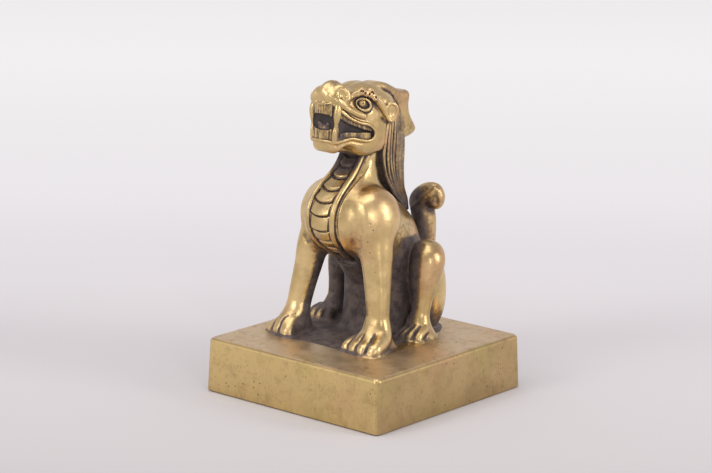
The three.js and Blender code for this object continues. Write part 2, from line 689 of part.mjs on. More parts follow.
// The raised lip runs back along the upper jaw, round the corner of the mouth and forward along the lower jaw.
function lip(side, extra) {
  const out = (share) => headHalfWidth(share) - lipRadius * 0.25;
  const row = (share, up) => {
    const [y, z] = headPlace(muzzleLength * share, up);
    return [out(share) * side, y, z, lipRadius, lipRadius];
  };
  return limb([
    row(0.86, upperLip(0.86)),
    row(0.62, upperLip(0.62)),
    row(0.35, upperLip(0.35)),
    row(0.1, upperLip(0.1)),
    row(-0.03, 0),
    row(0.1, lowerLip(0.1)),
    row(0.35, lowerLip(0.35)),
    row(0.62, lowerLip(0.62)),
    row(0.86, lowerLip(0.86)),
  ], { sides: thinSides, steps: 15, extra, across: [1, 0, 0] });
}

// A row of teeth for one jaw is one ribbed bar, let into the jaw: it runs forward along one side,
// across the front and back along the other side, and swells at each tooth.
function teeth(direction, extra) {
  const lipAt = direction < 0 ? upperLip : lowerLip;
  const inset = 1.1;
  const frontHalf = muzzleHalfWidth - inset - 0.4;
  const teethOnWay = 2 * molarCount + incisorCount;
  const stations = [];
  const pushStation = (order, swell) => {
    const along = Math.min(1, Math.max(0, order / (teethOnWay - 1)));
    const fromFront = Math.abs(2 * along - 1);
    const frontShare = incisorCount / teethOnWay;
    let x;
    let share;
    if (fromFront < frontShare) {
      const place = fromFront / frontShare;
      x = frontHalf * place;
      share = 0.95 - 0.13 * place ** 3;
    } else {
      share = mix(0.8, 0.1, (fromFront - frontShare) / (1 - frontShare));
      x = headHalfWidth(share) - inset;
    }
    const length = mix(incisorLength, molarLength * 0.75, Math.min(1, fromFront / frontShare / 1.6));
    const [y, lipZ] = headPlace(muzzleLength * share, lipAt(share));
    const root = 1.1;
    const z = lipZ + direction * (length * swell - root) / 2;
    stations.push([x * Math.sign(2 * along - 1 || 1), y, z, (length * swell + root) / 2, toothWidth * 0.5 * swell]);
  };
  for (let i = 0; i < teethOnWay; i += 1) {
    pushStation(i, 1);
    if (i + 1 < teethOnWay) pushStation(i + 0.5, extra > 0 ? 1 : 0.84);
  }
  return limb(stations, { sides: 6, steps: stations.length - 1, square: 3, extra, across: [0, 0, 1] });
}

function fang(side, extra) {
  const share = 0.86;
  const [y, low] = headPlace(muzzleLength * share, lowerLip(share) - 0.8);
  const high = mouthHeight + upperLip(share) + 0.8;
  const x = side * (headHalfWidth(share) - 0.55);
  return limb([
    [x, y, low, fangRadius, fangRadius],
    [x, y, mix(low, high, 0.3), fangRadius * 0.95, fangRadius * 0.95],
    [x, y, mix(low, high, 0.5), fangRadius * 0.72, fangRadius * 0.72],
    [x, y, mix(low, high, 0.75), fangRadius * 1.05, fangRadius * 1.05],
    [x, y, high, fangRadius, fangRadius],
  ], { sides: thinSides, steps: 6, extra });
}

function tongue(extra) {
  const row = (share, lift, half, thick) => {
    const [y, z] = headPlace(muzzleLength * share, lowerLip(share) + lift);
    return [0, y, z, half, thick];
  };
  return limb([
    row(-0.05, 0, tongueHalfWidth * 0.9, tongueThickness * 0.9),
    row(0.3, 0.4, tongueHalfWidth * 1.1, tongueThickness),
    row(0.6, 0.9, tongueHalfWidth, tongueThickness),
    row(0.78, 1.6, tongueHalfWidth * 0.85, tongueThickness * 0.95),
    row(0.85, 1.7, tongueHalfWidth * 0.45, tongueThickness * 0.5),
  ], { sides: 10, steps: 6, extra });
}

function nose(extra) {
  const [padY, padZ] = headPlace(muzzleLength * 0.8, snoutRise + snoutHalfHeight * 0.5);
  const parts = [egg([0, padY, padZ + 0.4], [noseRadius * 1.25, noseRadius * 1.35, noseRadius * 0.9], { extra, sides: 8 })];
  [-1, 1].forEach((side) => {
    const wing = egg([side * noseRadius * 1.5, padY + 1.6, padZ - 0.3], [noseRadius * 0.78, noseRadius * 1.1, noseRadius * 0.85],
      { extra, sides: 8, turn: [0.5, 0, 0] });
    parts.push(wing);
  });
  const whole = join(parts);
  if (extra > 0) return whole;
  const hollow = (side) => egg([side * (noseRadius * 1.5 + nostrilRadius * 0.85), padY + 1.5, padZ],
    [nostrilRadius * 0.7, nostrilRadius * 1.1, nostrilRadius * 0.75], { sides: 6 });
  return whole.subtract(hollow(-1)).subtract(hollow(1));
}

// An eye is a turned disc with a raised rim and a ball, facing outwards and a little forward.
function eye(side, extra) {
  const sides = extra > 0 ? 10 : 12;
  const share = 0.28;
  const [y, z] = headPlace(muzzleLength * share, browRise * 0.63);
  const plain = [[0, -1.6], [eyeRadius * 1.02, -1.6], [eyeRadius * 1.02, 0.6], [eyeBall, 1.4], [0, 1.4]];
  const shaped = [
    [0, -1.6], [eyeRadius * 0.9, -1.6], [eyeRadius, -0.2], [eyeRadius * 0.92, 0.35], [eyeRadius * 0.74, 0.3],
    [eyeBall + 0.15, -0.15], [eyeBall, 0.2], [eyeBall * 0.72, 0.75], [eyeBall * 0.3, 0.95], [0, 0.8],
  ];
  const profile = (extra > 0 ? plain : shaped).map(([radius, height]) => new THREE.Vector2(radius === 0 ? 0 : radius + extra, height + Math.sign(height) * extra));
  const geometry = new THREE.LatheGeometry(profile, sides);
  geometry.rotateZ(-Math.PI / 2);
  geometry.scale(1, 1.12, 0.88);
  geometry.rotateZ(-0.22);
  geometry.rotateY(0.12);
  geometry.translate(headHalfWidth(share) + 0.2, y, z);
  if (side < 0) {
    geometry.rotateZ(Math.PI);
    geometry.translate(0, 2 * y, 0);
  }
  return solidOf(geometry);
}

// A knotted brow over the eye that curls down behind it.
function brow(side, extra) {
  const place = (share, up, out) => {
    const [y, z] = headPlace(muzzleLength * share, up);
    return [(headHalfWidth(share) + out) * side, y, z, browRadius, browRadius];
  };
  const line = [
    place(0.5, browRise * 0.8, -1.4),
    place(0.36, browRise * 0.86, -0.9),
    place(0.15, browRise * 0.83, -0.6),
    place(-0.06, browRise * 0.7, -0.3),
    place(-0.2, browRise * 0.48, 0.1),
  ];
  if (extra > 0) return limb(line, { sides: 6, steps: 7, extra: extra + browRadius * 0.4 });
  const parts = [limb(line, { sides: 6, steps: 7 })];
  const curve = new THREE.CatmullRomCurve3(line.map(([x, y, z]) => new THREE.Vector3(x, y, z)), false, 'centripetal');
  for (let i = 0; i < browKnobs; i += 1) {
    const point = curve.getPointAt((i + 0.5) / browKnobs);
    const size = browRadius * 1.12;
    parts.push(egg([point.x + 0.2 * side, point.y, point.z + 0.2], [size, size * 0.8, size], { sides: 5 }));
  }
  return join(parts);
}

function ear(side, extra) {
  const [y, z] = headPlace(-skullLength * 0.46, browRise * 0.36);
  const x = (mouthHalfWidth + earThickness * 0.55) * side;
  const turn = [-0.25, 0, 0.2 * side];
  const shell = egg([x, y, z], [earThickness, earHalfWidth, earHalfHeight], { extra, turn });
  if (extra > 0) return shell;
  return shell.subtract(egg(
    [x + earThickness * 0.95 * side, y, z + 0.2],
    [earThickness * 0.6, earHalfWidth * 0.62, earHalfHeight * 0.66],
    { turn, sides: 8 },
  ));
}

// Crest: a side view with two points and a lobe, swept back over the skull.
function crest(extra) {
  const at = (back, down) => [mouthBack + 3 + back * crestReach, mouthHeight + browRise - down * crestReach];
  const outline = new THREE.Shape();
  outline.moveTo(...at(-0.16, 0.06));
  outline.quadraticCurveTo(...at(0.04, -0.05), ...at(0.2, 0.01));
  outline.quadraticCurveTo(...at(0.42, 0.07), ...at(0.58, 0.2));
  outline.quadraticCurveTo(...at(0.7, 0.18), ...at(0.86, 0.27));
  outline.quadraticCurveTo(...at(0.79, 0.46), ...at(0.86, 0.62));
  outline.quadraticCurveTo(...at(1.04, 0.78), ...at(1.0, 0.84));
  outline.quadraticCurveTo(...at(0.9, 0.96), ...at(0.78, 0.93));
  outline.lineTo(...at(0.5, 0.86));
  outline.quadraticCurveTo(...at(0.44, 0.5), ...at(-0.16, 0.34));
  outline.closePath();
  const thickness = 2 * (crestHalfThickness + extra - crestRound);
  const geometry = new THREE.ExtrudeGeometry(outline, {
    depth: thickness,
    bevelThickness: crestRound,
    bevelSize: crestRound * 0.6 + extra,
    bevelOffset: -crestRound * 0.6,
    bevelSegments: 2,
    curveSegments: 3,
  });
  // The outline's x becomes y, its y becomes z, and the depth runs along x.
  geometry.applyMatrix4(new THREE.Matrix4().set(0, 0, 1, -thickness / 2, 1, 0, 0, 0, 0, 1, 0, 0, 0, 0, 0, 1));
  return solidOf(geometry);
}

// Mane: strands that hang from the skull round the back of the neck and meet in a tip on the back.
const maneRows = [
  { z: mouthHeight + 5, half: maneHalfWidth * 1.2, front: neckBack + 4.2, rear: maneBack - 5 },
  { z: mouthHeight - 2, half: maneHalfWidth * 1.12, front: neckBack + 3.8, rear: maneBack - 1.2 },
  { z: mix(mouthHeight, maneTipHeight, 0.38), half: maneHalfWidth, front: neckBack + 4.8, rear: maneBack - 0.4 },
  { z: mix(mouthHeight, maneTipHeight, 0.65), half: maneHalfWidth * 0.88, front: neckBack + 9.6, rear: maneBack },
  { z: mix(mouthHeight, maneTipHeight, 0.86), half: maneHalfWidth * 0.6, front: neckBack + 15.6, rear: mix(maneBack, maneTipBack, 0.55) },
  { z: maneTipHeight, half: maneHalfWidth * 0.3, front: maneTipBack - 1.2, rear: maneTipBack },
];

// Rings of the mane: fluted round the back, one swell for each strand, and closed straight across the front.
function mane(extra) {
  const curve = (pick) => new THREE.CatmullRomCurve3(
    maneRows.map((row) => new THREE.Vector3(pick(row), 0, 0)), false, 'centripetal');
  const curves = ['z', 'half', 'front', 'rear'].map((key) => curve((row) => row[key]));
  const pointsPerStrand = extra > 0 ? 1 : 2;
  const rings = [];
  const steps = 7;
  for (let step = 0; step <= steps; step += 1) {
    const [z, half, front, rear] = curves.map((each) => each.getPoint(step / steps).x);
    const ring = [];
    const count = strandCount * pointsPerStrand;
    for (let i = 0; i <= count; i += 1) {
      const angle = (Math.PI * i) / count;
      const flute = extra > 0 || i % 2 === 1 ? 0 : -strandRadius * 0.5;
      const swell = strandRadius * 0.5 + extra * 1.15 + flute;
      ring.push(new THREE.Vector3(
        (half + swell) * Math.cos(angle),
        front + (rear - front + swell) * Math.sin(angle) - extra * (1 - Math.sin(angle)),
        z,
      ));
    }
    if (step === 0) ring.forEach((point) => point.setZ(z + extra));
    if (step === steps) ring.forEach((point) => point.setZ(z - extra));
    rings.push(ring.reverse());
  }
  return solidFromRings(rings);
}

// The members in order. Each one keeps clear of those before it, which are let into it.
const members = [
  ['tongue', tongue, darkBrass],
  ['upper_teeth', (extra) => teeth(-1, extra), brass],
  ['lower_teeth', (extra) => teeth(1, extra), brass],
  ['left_fang', (extra) => fang(1, extra), brightBrass],
  ['right_fang', (extra) => fang(-1, extra), brightBrass],
  ['nose', nose, brightBrass],
  ['left_eye', (extra) => eye(1, extra), brightBrass],
  ['right_eye', (extra) => eye(-1, extra), brightBrass],
  ['left_ear', (extra) => ear(1, extra), brass],
  ['right_ear', (extra) => ear(-1, extra), brass],
  ['left_brow', (extra) => brow(1, extra), brass],
  ['right_brow', (extra) => brow(-1, extra), brass],
  ['left_lip', (extra) => lip(1, extra), brightBrass],
  ['right_lip', (extra) => lip(-1, extra), brightBrass],
  ['left_chest_cord', (extra) => chestCord(1, extra), brightBrass],
  ['right_chest_cord', (extra) => chestCord(-1, extra), brightBrass],
  ['chest_plates', chestPlates, brass],
  ['crest', crest, brass],
  ['lower_jaw', lowerJaw, brass],
  ['head', head, brass],
  ['mane', mane, brass],
  ['neck', neck, darkBrass],
  ['torso', trunk, darkBrass],
  ['tail', tail, brass],
  ['left_foreleg', (extra) => foreleg(1, 0, 0, extra), brass],
  ['right_foreleg', (extra) => foreleg(-1, rightForeStep, rightForeIn, extra), brass],
  ['left_hind_leg', (extra) => hindLeg(1, extra), brass],
  ['right_hind_leg', (extra) => hindLeg(-1, extra), brass],
];

function overlap(a, b) {
  const one = a.boundingBox();
  const two = b.boundingBox();
  return [0, 1, 2].every((axis) => one.min[axis] < two.max[axis] && two.min[axis] < one.max[axis]);
}

const group = new THREE.Group();
const blockMesh = new THREE.Mesh(geometryOf(sealBlock()), new THREE.MeshStandardMaterial(brass));
blockMesh.name = 'seal_block';
group.add(blockMesh);

const figure = new THREE.Group();
figure.position.set(figureOffset, 0, blockHeight);
group.add(figure);

// The figure stands on the block, so its members end in the plane of the block's top.
const reach = blockSide;
const underGround = box(-reach, reach, -reach, reach, -reach, 0);

members.forEach(([name, shape, finish], index) => {
  let solid = shape(0);
  members.slice(0, index).forEach(([, earlier]) => {
    const grown = earlier(clearance);
    if (overlap(solid, grown)) solid = solid.subtract(grown);
  });
  solid = solid.subtract(underGround);
  const mesh = new THREE.Mesh(geometryOf(largestBody(solid)), new THREE.MeshStandardMaterial(finish));
  mesh.name = name;
  figure.add(mesh);
});

export default group;
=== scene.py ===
# A cast brass seal stamp with a seated mythical beast as its grip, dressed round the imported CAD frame.
# The beast is sculpted as signed distances in millimetres, in the figure's own frame: x to its left,
# y to its back and z up from the top of the seal block. The meshes are then made in metres.
import math
import bpy
import numpy as np
import openvdb
from mathutils import Matrix, Vector


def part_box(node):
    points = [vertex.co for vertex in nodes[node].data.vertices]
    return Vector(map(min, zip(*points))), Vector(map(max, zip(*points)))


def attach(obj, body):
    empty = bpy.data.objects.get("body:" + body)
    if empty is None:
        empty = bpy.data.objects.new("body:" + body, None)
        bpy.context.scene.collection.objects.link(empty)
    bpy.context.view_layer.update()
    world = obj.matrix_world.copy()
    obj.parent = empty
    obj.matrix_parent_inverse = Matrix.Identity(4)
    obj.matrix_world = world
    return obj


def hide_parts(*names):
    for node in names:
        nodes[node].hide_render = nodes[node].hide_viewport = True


MM = 0.001
FAR = 12.0  # millimetres, the distance that empty clay holds

# Camera, from the photograph's perspective, in pixels, degrees, metres and sensor millimetres
PICTURE_WIDTH = 712
AZIMUTH = 40.391
ELEVATION = 13.882
ROLL = 0.696
CAMERA_DISTANCE = 0.87252
FOCAL_PIXELS = 2818.65
SENSOR = 36.0
AIM_SIDE = -0.00302
AIM_HEIGHT = 0.0491

# Trunk. From here on, the sizes are millimetres in the figure's frame.
CHEST = (0, -4.8, 38.2)
CHEST_RADII = (13.0, 11.4, 12.6)

# Legs
SHOULDER_X = 10.6
SHOULDER_Y = -3.6
STANCE = 16.0
FORE_ANKLE_Y = -6.8
RIGHT_STEP = 2.4  # how much further forward the right foreleg stands
RIGHT_IN = 1.9  # how much further in it stands
HIND_X = 17.1
HIND_Y = 11.8
RIGHT_HIND_IN = 0.8
KNEE = (17.2, 15.7, 23.9)
LEG_STEPS = 14  # fine steps down the forelegs, so that no rings show on them

# Paws. Each toe has x and y of its root, x and y of its tip, and its radius. Each line has its stations.
NEAR_TOES = ((13.3, -11.3, 11.7, -16.2, 1.65), (15.4, -12.0, 15.1, -16.6, 1.75),
             (17.8, -12.0, 18.7, -16.9, 1.8), (20.0, -9.6, 22.0, -15.6, 1.95))
NEAR_LINES = (((13.0, -12.5, 4.8), (13.2, -15.5, 3.5), (13.4, -17.6, 1.2)),
              ((16.5, -13.3, 4.9), (16.8, -15.8, 3.6), (17.0, -18.0, 1.1)),
              ((19.1, -11.8, 5.3), (20.0, -14.6, 4.1), (20.4, -18.0, 0.8)))
FAR_TOES = ((-12.1, -11.6, -12.2, -16.3, 2.2), (-15.0, -12.4, -16.0, -16.7, 1.6),
            (-16.8, -12.0, -18.4, -16.6, 1.45), (-18.0, -10.8, -20.3, -15.4, 1.4))
FAR_LINES = (((-14.2, -14.0, 4.9), (-14.6, -15.8, 3.9), (-14.5, -18.3, 1.2)),
             ((-15.8, -13.1, 4.8), (-17.1, -16.0, 3.5), (-17.4, -18.0, 1.2)))
HIND_TOES = ((16.2, 8.6, 15.0, 5.4, 1.4), (17.9, 8.0, 17.2, 4.4, 1.5),
             (19.7, 8.0, 19.6, 4.4, 1.5), (21.3, 9.2, 21.9, 5.6, 1.5))
HIND_LINES = (((17.0, 8.0, 3.9), (16.2, 5.4, 2.6), (16.0, 3.6, 0.8)),
              ((18.9, 7.6, 4.2), (18.4, 5.0, 2.8), (18.3, 2.9, 0.8)),
              ((20.7, 8.2, 4.1), (20.7, 5.6, 2.8), (20.8, 3.5, 0.8)))

# Tail
TAIL_X = 3.6
TAIL_Y = 30.2
TAIL_TOP = 43.9

# Raised ground on the block, as x and y
GROUND_OUTLINE = [
    (-22.0, -15.5), (-19.8, -18.0), (-14.5, -19.6), (-9.0, -19.0), (0.9, -18.2), (11.0, -18.8),
    (17.5, -19.4), (22.5, -19.0), (24.9, -15.6), (24.8, -6.8), (25.1, 4.1), (23.4, 10.0), (22.4, 15.0),
    (19.6, 21.0), (15.0, 27.0), (6.0, 31.0), (-6.0, 31.0), (-15.0, 27.0), (-20.0, 19.0), (-24.4, 6.0),
    (-23.6, -4.0), (-23.2, -11.0),
]

# Chest band
PLATE_EDGES = (57.0, 54.0, 51.0, 47.9, 44.5, 40.4, 35.4, 31.8, 29.2, 26.8)  # heights of the lower edges
BAND_LENGTH = 60
BAND_SPAN = 5  # samples between two stations of the band's line
CORD_RADIUS = 0.84

# Head. The mouth's edge runs from the middle of the upper lip round the corner to the lower lip's middle.
LIP_EDGE = [
    (0.0, -16.1, 75.2), (2.0, -15.9, 75.5), (3.3, -15.4, 75.7), (4.1, -14.8, 75.3), (4.8, -13.7, 74.2),
    (5.25, -12.8, 73.2), (6.0, -10.8, 71.6), (6.7, -8.8, 70.2), (7.5, -6.3, 69.0), (8.1, -3.7, 68.3),
    (8.4, -1.8, 67.3), (8.6, -0.5, 65.8), (8.6, -0.4, 64.4), (8.4, -1.4, 63.3), (8.0, -3.3, 63.0),
    (7.5, -6.2, 63.6), (6.7, -8.7, 64.3), (6.0, -10.7, 64.2), (5.3, -12.7, 63.8), (4.4, -14.4, 63.5),
    (3.3, -15.4, 63.8), (2.0, -15.9, 64.0), (0.0, -16.1, 64.0),
]
HEAD_PLAN = [
    (0.0, -16.4), (1.8, -16.2), (3.2, -15.7), (4.2, -14.9), (5.0, -13.6), (5.7, -11.9), (6.3, -10.2),
    (7.0, -8.0), (7.8, -5.0), (8.4, -2.0), (8.9, 1.0), (9.0, 3.4), (8.5, 6.0), (7.4, 8.4), (5.6, 10.6),
    (3.2, 11.8), (0.0, 12.2),
]
MUZZLE = np.array(HEAD_PLAN[:12])  # the plan's front part, as far back as its widest place
EYE = np.array((7.25, -4.9, 74.7))
EYE_TURN = (-0.45, 0, -0.5)
RIM_ANGLES = [math.tau * step / 12 for step in range(13)]  # once round the rim of an ear or an eye

# Crest and mane. The mane's rows have height, half width, front and rear.
CREST_EDGE = [
    (2.9, 1.6, 80.6), (3.2, 4.6, 79.3), (3.5, 7.5, 77.8), (3.8, 10.4, 76.0), (4.1, 12.9, 74.1),
    (4.2, 15.4, 71.9), (4.2, 17.4, 69.0), (4.1, 18.9, 65.6), (3.9, 20.0, 60.7),
]
MANE_ROWS = np.array([
    (73.0, 6.6, 7.4, 14.5), (68.0, 7.9, 5.6, 18.4), (62.0, 7.8, 4.6, 20.8), (56.0, 7.2, 4.9, 21.4),
    (50.0, 6.3, 7.4, 21.6), (44.0, 5.0, 12.4, 22.3), (39.5, 3.3, 18.2, 24.4), (35.8, 1.3, 23.6, 25.8),
])
STRANDS = 16  # on each side, from the middle of the back

# Side teeth, the lines of their roots and tips as y and z
UPPER_ROOTS = [
    (-13.2, 73.4), (-12.7, 72.9), (-10.8, 71.1), (-8.8, 69.7), (-6.3, 68.5), (-3.7, 67.8), (-1.8, 66.9),
    (-0.9, 66.2),
]
UPPER_TIPS = [
    (-12.7, 70.8), (-11.1, 69.8), (-9.8, 69.0), (-7.7, 68.0), (-6.3, 67.4), (-4.1, 66.5), (-1.8, 65.8),
    (-0.9, 65.5),
]
LOWER_ROOTS = [(-12.7, 64.2), (-10.7, 64.7), (-8.7, 64.8), (-6.2, 64.1), (-3.3, 63.5), (-1.3, 63.8)]
LOWER_TIPS = [(-12.7, 66.2), (-11.1, 66.4), (-9.1, 66.3), (-6.3, 65.9), (-4.1, 65.7), (-1.8, 65.4)]
FRONT_TEETH = 5  # on each side of the middle
FRONT_TOOTH = 0.96  # width of one of them
SIDE_GAPS = 7  # between the side teeth

# Patina, how far round a place is looked for other metal
FINE_REACHES = (0.5, 1.0, 1.8)
BROAD_REACHES = (3.5, 6.0, 9.0)

# Studio. Each soft box has its direction from the seal in the camera's own axes, to the right, up and
# towards the camera, then its distance and size in metres and its power in watts.
BOXES = (
    ("overhead_box", (-0.15, 0.93, 0.3), 0.75, (0.65, 0.65), 2.5),
    ("right_box", (0.88, 0.3, 0.36), 0.6, (0.16, 0.3), 0.95),
    ("front_box", (0.3, 0.1, 0.95), 0.8, (0.09, 0.32), 0.65),
    ("left_box", (-0.7, 0.35, 0.6), 0.8, (0.2, 0.4), 1.3),
)
BOX_AIM = (0, 0, 0.05)
BOX_COLOUR = (1.0, 0.99, 0.97)
ROOM_STRENGTH = 0.95
ROOM_SHADES = ((0.15, (246, 244, 246)), (0.7, (196, 194, 198)))  # how steeply upwards, and the colour there
# Each shade of the paper's painted light has metres behind the middle of the block, seen from the camera,
# and its colour.
FLOOR_PAINTED_LIGHT = (
    (-0.14, (190, 186, 188)), (-0.07, (204, 200, 201)), (0.0, (211, 207, 209)), (0.065, (213, 209, 211)),
    (0.13, (224, 220, 222)), (0.26, (235, 231, 234)), (0.57, (243, 240, 241)), (0.8, (238, 235, 237)),
)
PAPER_UNDER_LIGHT = (252, 252, 252)  # keeps the lit paper at its own shade near the seal
PAPER_SIZE = 4.0

cut_lines = []  # the lines between the toes, filled in where they lie on the surface

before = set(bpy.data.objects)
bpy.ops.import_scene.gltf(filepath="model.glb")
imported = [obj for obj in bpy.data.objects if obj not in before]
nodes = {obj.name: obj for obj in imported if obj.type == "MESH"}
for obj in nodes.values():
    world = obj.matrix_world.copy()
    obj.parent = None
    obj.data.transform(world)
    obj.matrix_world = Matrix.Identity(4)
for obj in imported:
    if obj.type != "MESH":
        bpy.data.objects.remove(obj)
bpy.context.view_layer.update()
block_low, block_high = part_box("seal_block")
crest_low, crest_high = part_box("crest")
FIGURE_X = (crest_low[0] + crest_high[0]) / 2 / MM
BLOCK_TOP = block_high[2] / MM


def mix(a, b, t):
    return a + (b - a) * t


def smooth_step(low, high, value):
    t = np.clip((value - low) / (high - low), 0, 1)
    return t * t * (3 - 2 * t)


def spline(stations, per_span=5):
    """Stations joined by a Catmull-Rom curve, every column alike."""
    points = np.array(stations, np.float64)
    ends = np.vstack([2 * points[0] - points[1], points, 2 * points[-1] - points[-2]])
    samples = []
    for i in range(1, len(ends) - 2):
        a, b, c, d = ends[i - 1:i + 3]
        for step in range(per_span):
            t = step / per_span
            samples.append(0.5 * (2 * b + (c - a) * t + (2 * a - 5 * b + 4 * c - d) * t * t
                                  + (3 * b - a - 3 * c + d) * t ** 3))
    samples.append(points[-1])
    return np.array(samples)


class Clay:
    """A block of clay: signed distances on a grid. Mirrored clay is shaped alike on both sides of x = 0."""

    def __init__(self, low, high, step, mirrored=False):
        self.low = np.array(low, np.float64)
        self.step = step
        size = np.ceil((np.array(high, np.float64) - self.low) / step).astype(int) + 1
        self.field = np.full(size, FAR, np.float32)
        self.mirrored = mirrored

    def part(self, low, high):
        """The stretch of the grid between two corners, as slices and open coordinate arrays."""
        low = np.array(low, np.float64)
        high = np.array(high, np.float64)
        if self.mirrored:
            reach = max(abs(low[0]), abs(high[0]))
            low[0] = -reach
            high[0] = reach
        first = np.clip(np.floor((low - self.low) / self.step).astype(int), 0, self.field.shape)
        last = np.clip(np.ceil((high - self.low) / self.step).astype(int) + 1, 0, self.field.shape)
        axes = [self.low[i] + self.step * np.arange(first[i], last[i], dtype=np.float32) for i in range(3)]
        x, y, z = (axis.astype(np.float32) for axis in axes)
        if self.mirrored:
            x = np.abs(x)
        window = tuple(slice(a, b) for a, b in zip(first, last))
        return window, x[:, None, None], y[None, :, None], z[None, None, :]

    def high(self):
        return self.low + self.step * np.array(self.field.shape)

    def whole(self):
        return self.part(self.low, self.high())

    def shape(self, low, high, distance, blend=0.0, cut=False):
        """Joins a shape to the clay, or cuts it out, with a soft edge as wide as the blend."""
        window, x, y, z = self.part(low, high)
        if min(self.field[window].shape) == 0:
            return
        there = self.field[window]
        new = distance(x, y, z)
        if cut:
            new = -new
            overlap = np.maximum(blend - np.abs(there - new), 0) if blend > 0 else 0
            result = np.maximum(there, new)
            if blend > 0:
                result += overlap * overlap / (4 * blend)
        else:
            result = np.minimum(there, new)
            if blend > 0:
                overlap = np.maximum(blend - np.abs(there - new), 0)
                result -= overlap * overlap / (4 * blend)
        self.field[window] = result

    def chain(self, stations, blend=0.0, cut=False, per_span=5, stretch=(1, 1, 1)):
        """A round form along a spine. Each station is x, y, z, radius. Stretch widens its sections."""
        line = spline(stations, per_span)
        scale = np.array(stretch, np.float64)
        pad = blend + 3 * self.step
        reach = (line[:, 3].max() * scale.max()) + pad
        low = line[:, :3].min(0) - reach
        high = line[:, :3].max(0) + reach

        def distance(x, y, z):
            out = np.full(np.broadcast_shapes(x.shape, y.shape, z.shape), FAR, np.float32)
            for a, b in zip(line[:-1], line[1:]):
                own = max(a[3], b[3]) * scale.max() + pad
                lows = np.minimum(a[:3], b[:3]) - own
                highs = np.maximum(a[:3], b[:3]) + own
                inside = [np.nonzero((axis.ravel() >= lo) & (axis.ravel() <= hi))[0]
                          for axis, lo, hi in zip((x, y, z), lows, highs)]
                if min(len(i) for i in inside) == 0:
                    continue
                spans = tuple(slice(i[0], i[-1] + 1) for i in inside)
                sx = x[spans[0]] / scale[0]
                sy = y[:, spans[1]] / scale[1]
                sz = z[:, :, spans[2]] / scale[2]
                start = a[:3] / scale
                along = b[:3] / scale - start
                length = max(float(along @ along), 1e-9)
                dx, dy, dz = sx - start[0], sy - start[1], sz - start[2]
                share = np.clip((dx * along[0] + dy * along[1] + dz * along[2]) / length, 0, 1)
                gap = np.sqrt((dx - share * along[0]) ** 2 + (dy - share * along[1]) ** 2
                              + (dz - share * along[2]) ** 2)
                gap = (gap - (a[3] + (b[3] - a[3]) * share)) * scale.min()
                out[spans] = np.minimum(out[spans], gap)
            return out

        self.shape(low, high, distance, blend, cut)

    def egg(self, centre, radii, blend=0.0, cut=False, turn=(0, 0, 0)):
        """An egg-shaped form, turned by angles about x, y and z."""
        centre = np.array(centre, np.float64)
        radii = np.array(radii, np.float64)
        rotation = np.array((Matrix.Rotation(turn[2], 3, "Z") @ Matrix.Rotation(turn[1], 3, "Y")
                             @ Matrix.Rotation(turn[0], 3, "X")))
        reach = np.sqrt(((rotation * radii) ** 2).sum(1)) + blend + 3 * self.step

        def distance(x, y, z):
            dx, dy, dz = x - centre[0], y - centre[1], z - centre[2]
            near = 0
            far = 0
            for i in range(3):
                along = dx * rotation[0, i] + dy * rotation[1, i] + dz * rotation[2, i]
                near = near + (along / radii[i]) ** 2
                far = far + (along / radii[i] ** 2) ** 2
            near = np.sqrt(near)
            return near * (near - 1) / np.maximum(np.sqrt(far), 1e-6)

        self.shape(centre - reach, centre + reach, distance, blend, cut)

    def slab(self, outline, half_width, edge, blend=0.0, cut=False):
        """A form with rounded edges and a side view in (y, z), half as wide as the width function says."""
        outline = np.array(outline, np.float64)
        widest = max(float(np.max(half_width(outline[:, 0], outline[:, 1]))), 1) + edge
        pad = blend + 3 * self.step
        low = (-widest - pad, *(outline.min(0) - pad))
        high = (widest + pad, *(outline.max(0) + pad))

        def distance(x, y, z):
            flat = outline_distance(outline, y[0], z[0])
            width = half_width(y, z)
            depth = np.maximum(flat[None] + edge, 0)
            across = np.maximum(np.abs(x) - (width - edge), 0)
            return np.sqrt(depth ** 2 + across ** 2) - edge

        self.shape(low, high, distance, blend, cut)

    def block(self, side, plan, front, edge):
        """A form with rounded edges and with these outlines from its side, from above and in front."""
        side, plan, front = (np.array(outline, np.float64) for outline in (side, plan, front))
        pad = 3 * self.step
        low = (plan[:, 0].min() - pad, side[:, 0].min() - pad, side[:, 1].min() - pad)
        high = (plan[:, 0].max() + pad, side[:, 0].max() + pad, side[:, 1].max() + pad)

        def distance(x, y, z):
            seen_side = outline_distance(side, y[0], z[0])[None]
            seen_plan = outline_distance(plan, x[:, :, 0], y[:, :, 0])[:, :, None]
            seen_front = outline_distance(front, x[:, 0], z[0])[:, None]
            parts = [np.maximum(seen + edge, 0) ** 2 for seen in (seen_side, seen_plan, seen_front)]
            return np.sqrt(parts[0] + parts[1] + parts[2]) - edge

        self.shape(low, high, distance)

    def mesh(self):
        """Points and four-cornered faces of the surface, in the figure's frame."""
        grid = openvdb.FloatGrid(background=FAR)
        grid.copyFromArray(np.ascontiguousarray(self.field))
        points, _, quads = grid.convertToPolygons(0.0, 0.0)
        return self.low + points.astype(np.float64) * self.step, quads

    def at(self, points):
        """The distances at scattered points, and FAR outside the block."""
        where = (points - self.low) / self.step
        limit = np.array(self.field.shape) - 1
        inside = ((where >= 0) & (where <= limit - 1e-3)).all(1)
        where = np.clip(where, 0, limit - 1.001)
        base = where.astype(int)
        part = where - base
        total = 0
        for corner in range(8):
            step = np.array([corner >> 2 & 1, corner >> 1 & 1, corner & 1])
            weight = np.prod(np.where(step, part, 1 - part), axis=1)
            cell = base + step
            total = total + weight * self.field[cell[:, 0], cell[:, 1], cell[:, 2]]
        return np.where(inside, total, FAR)


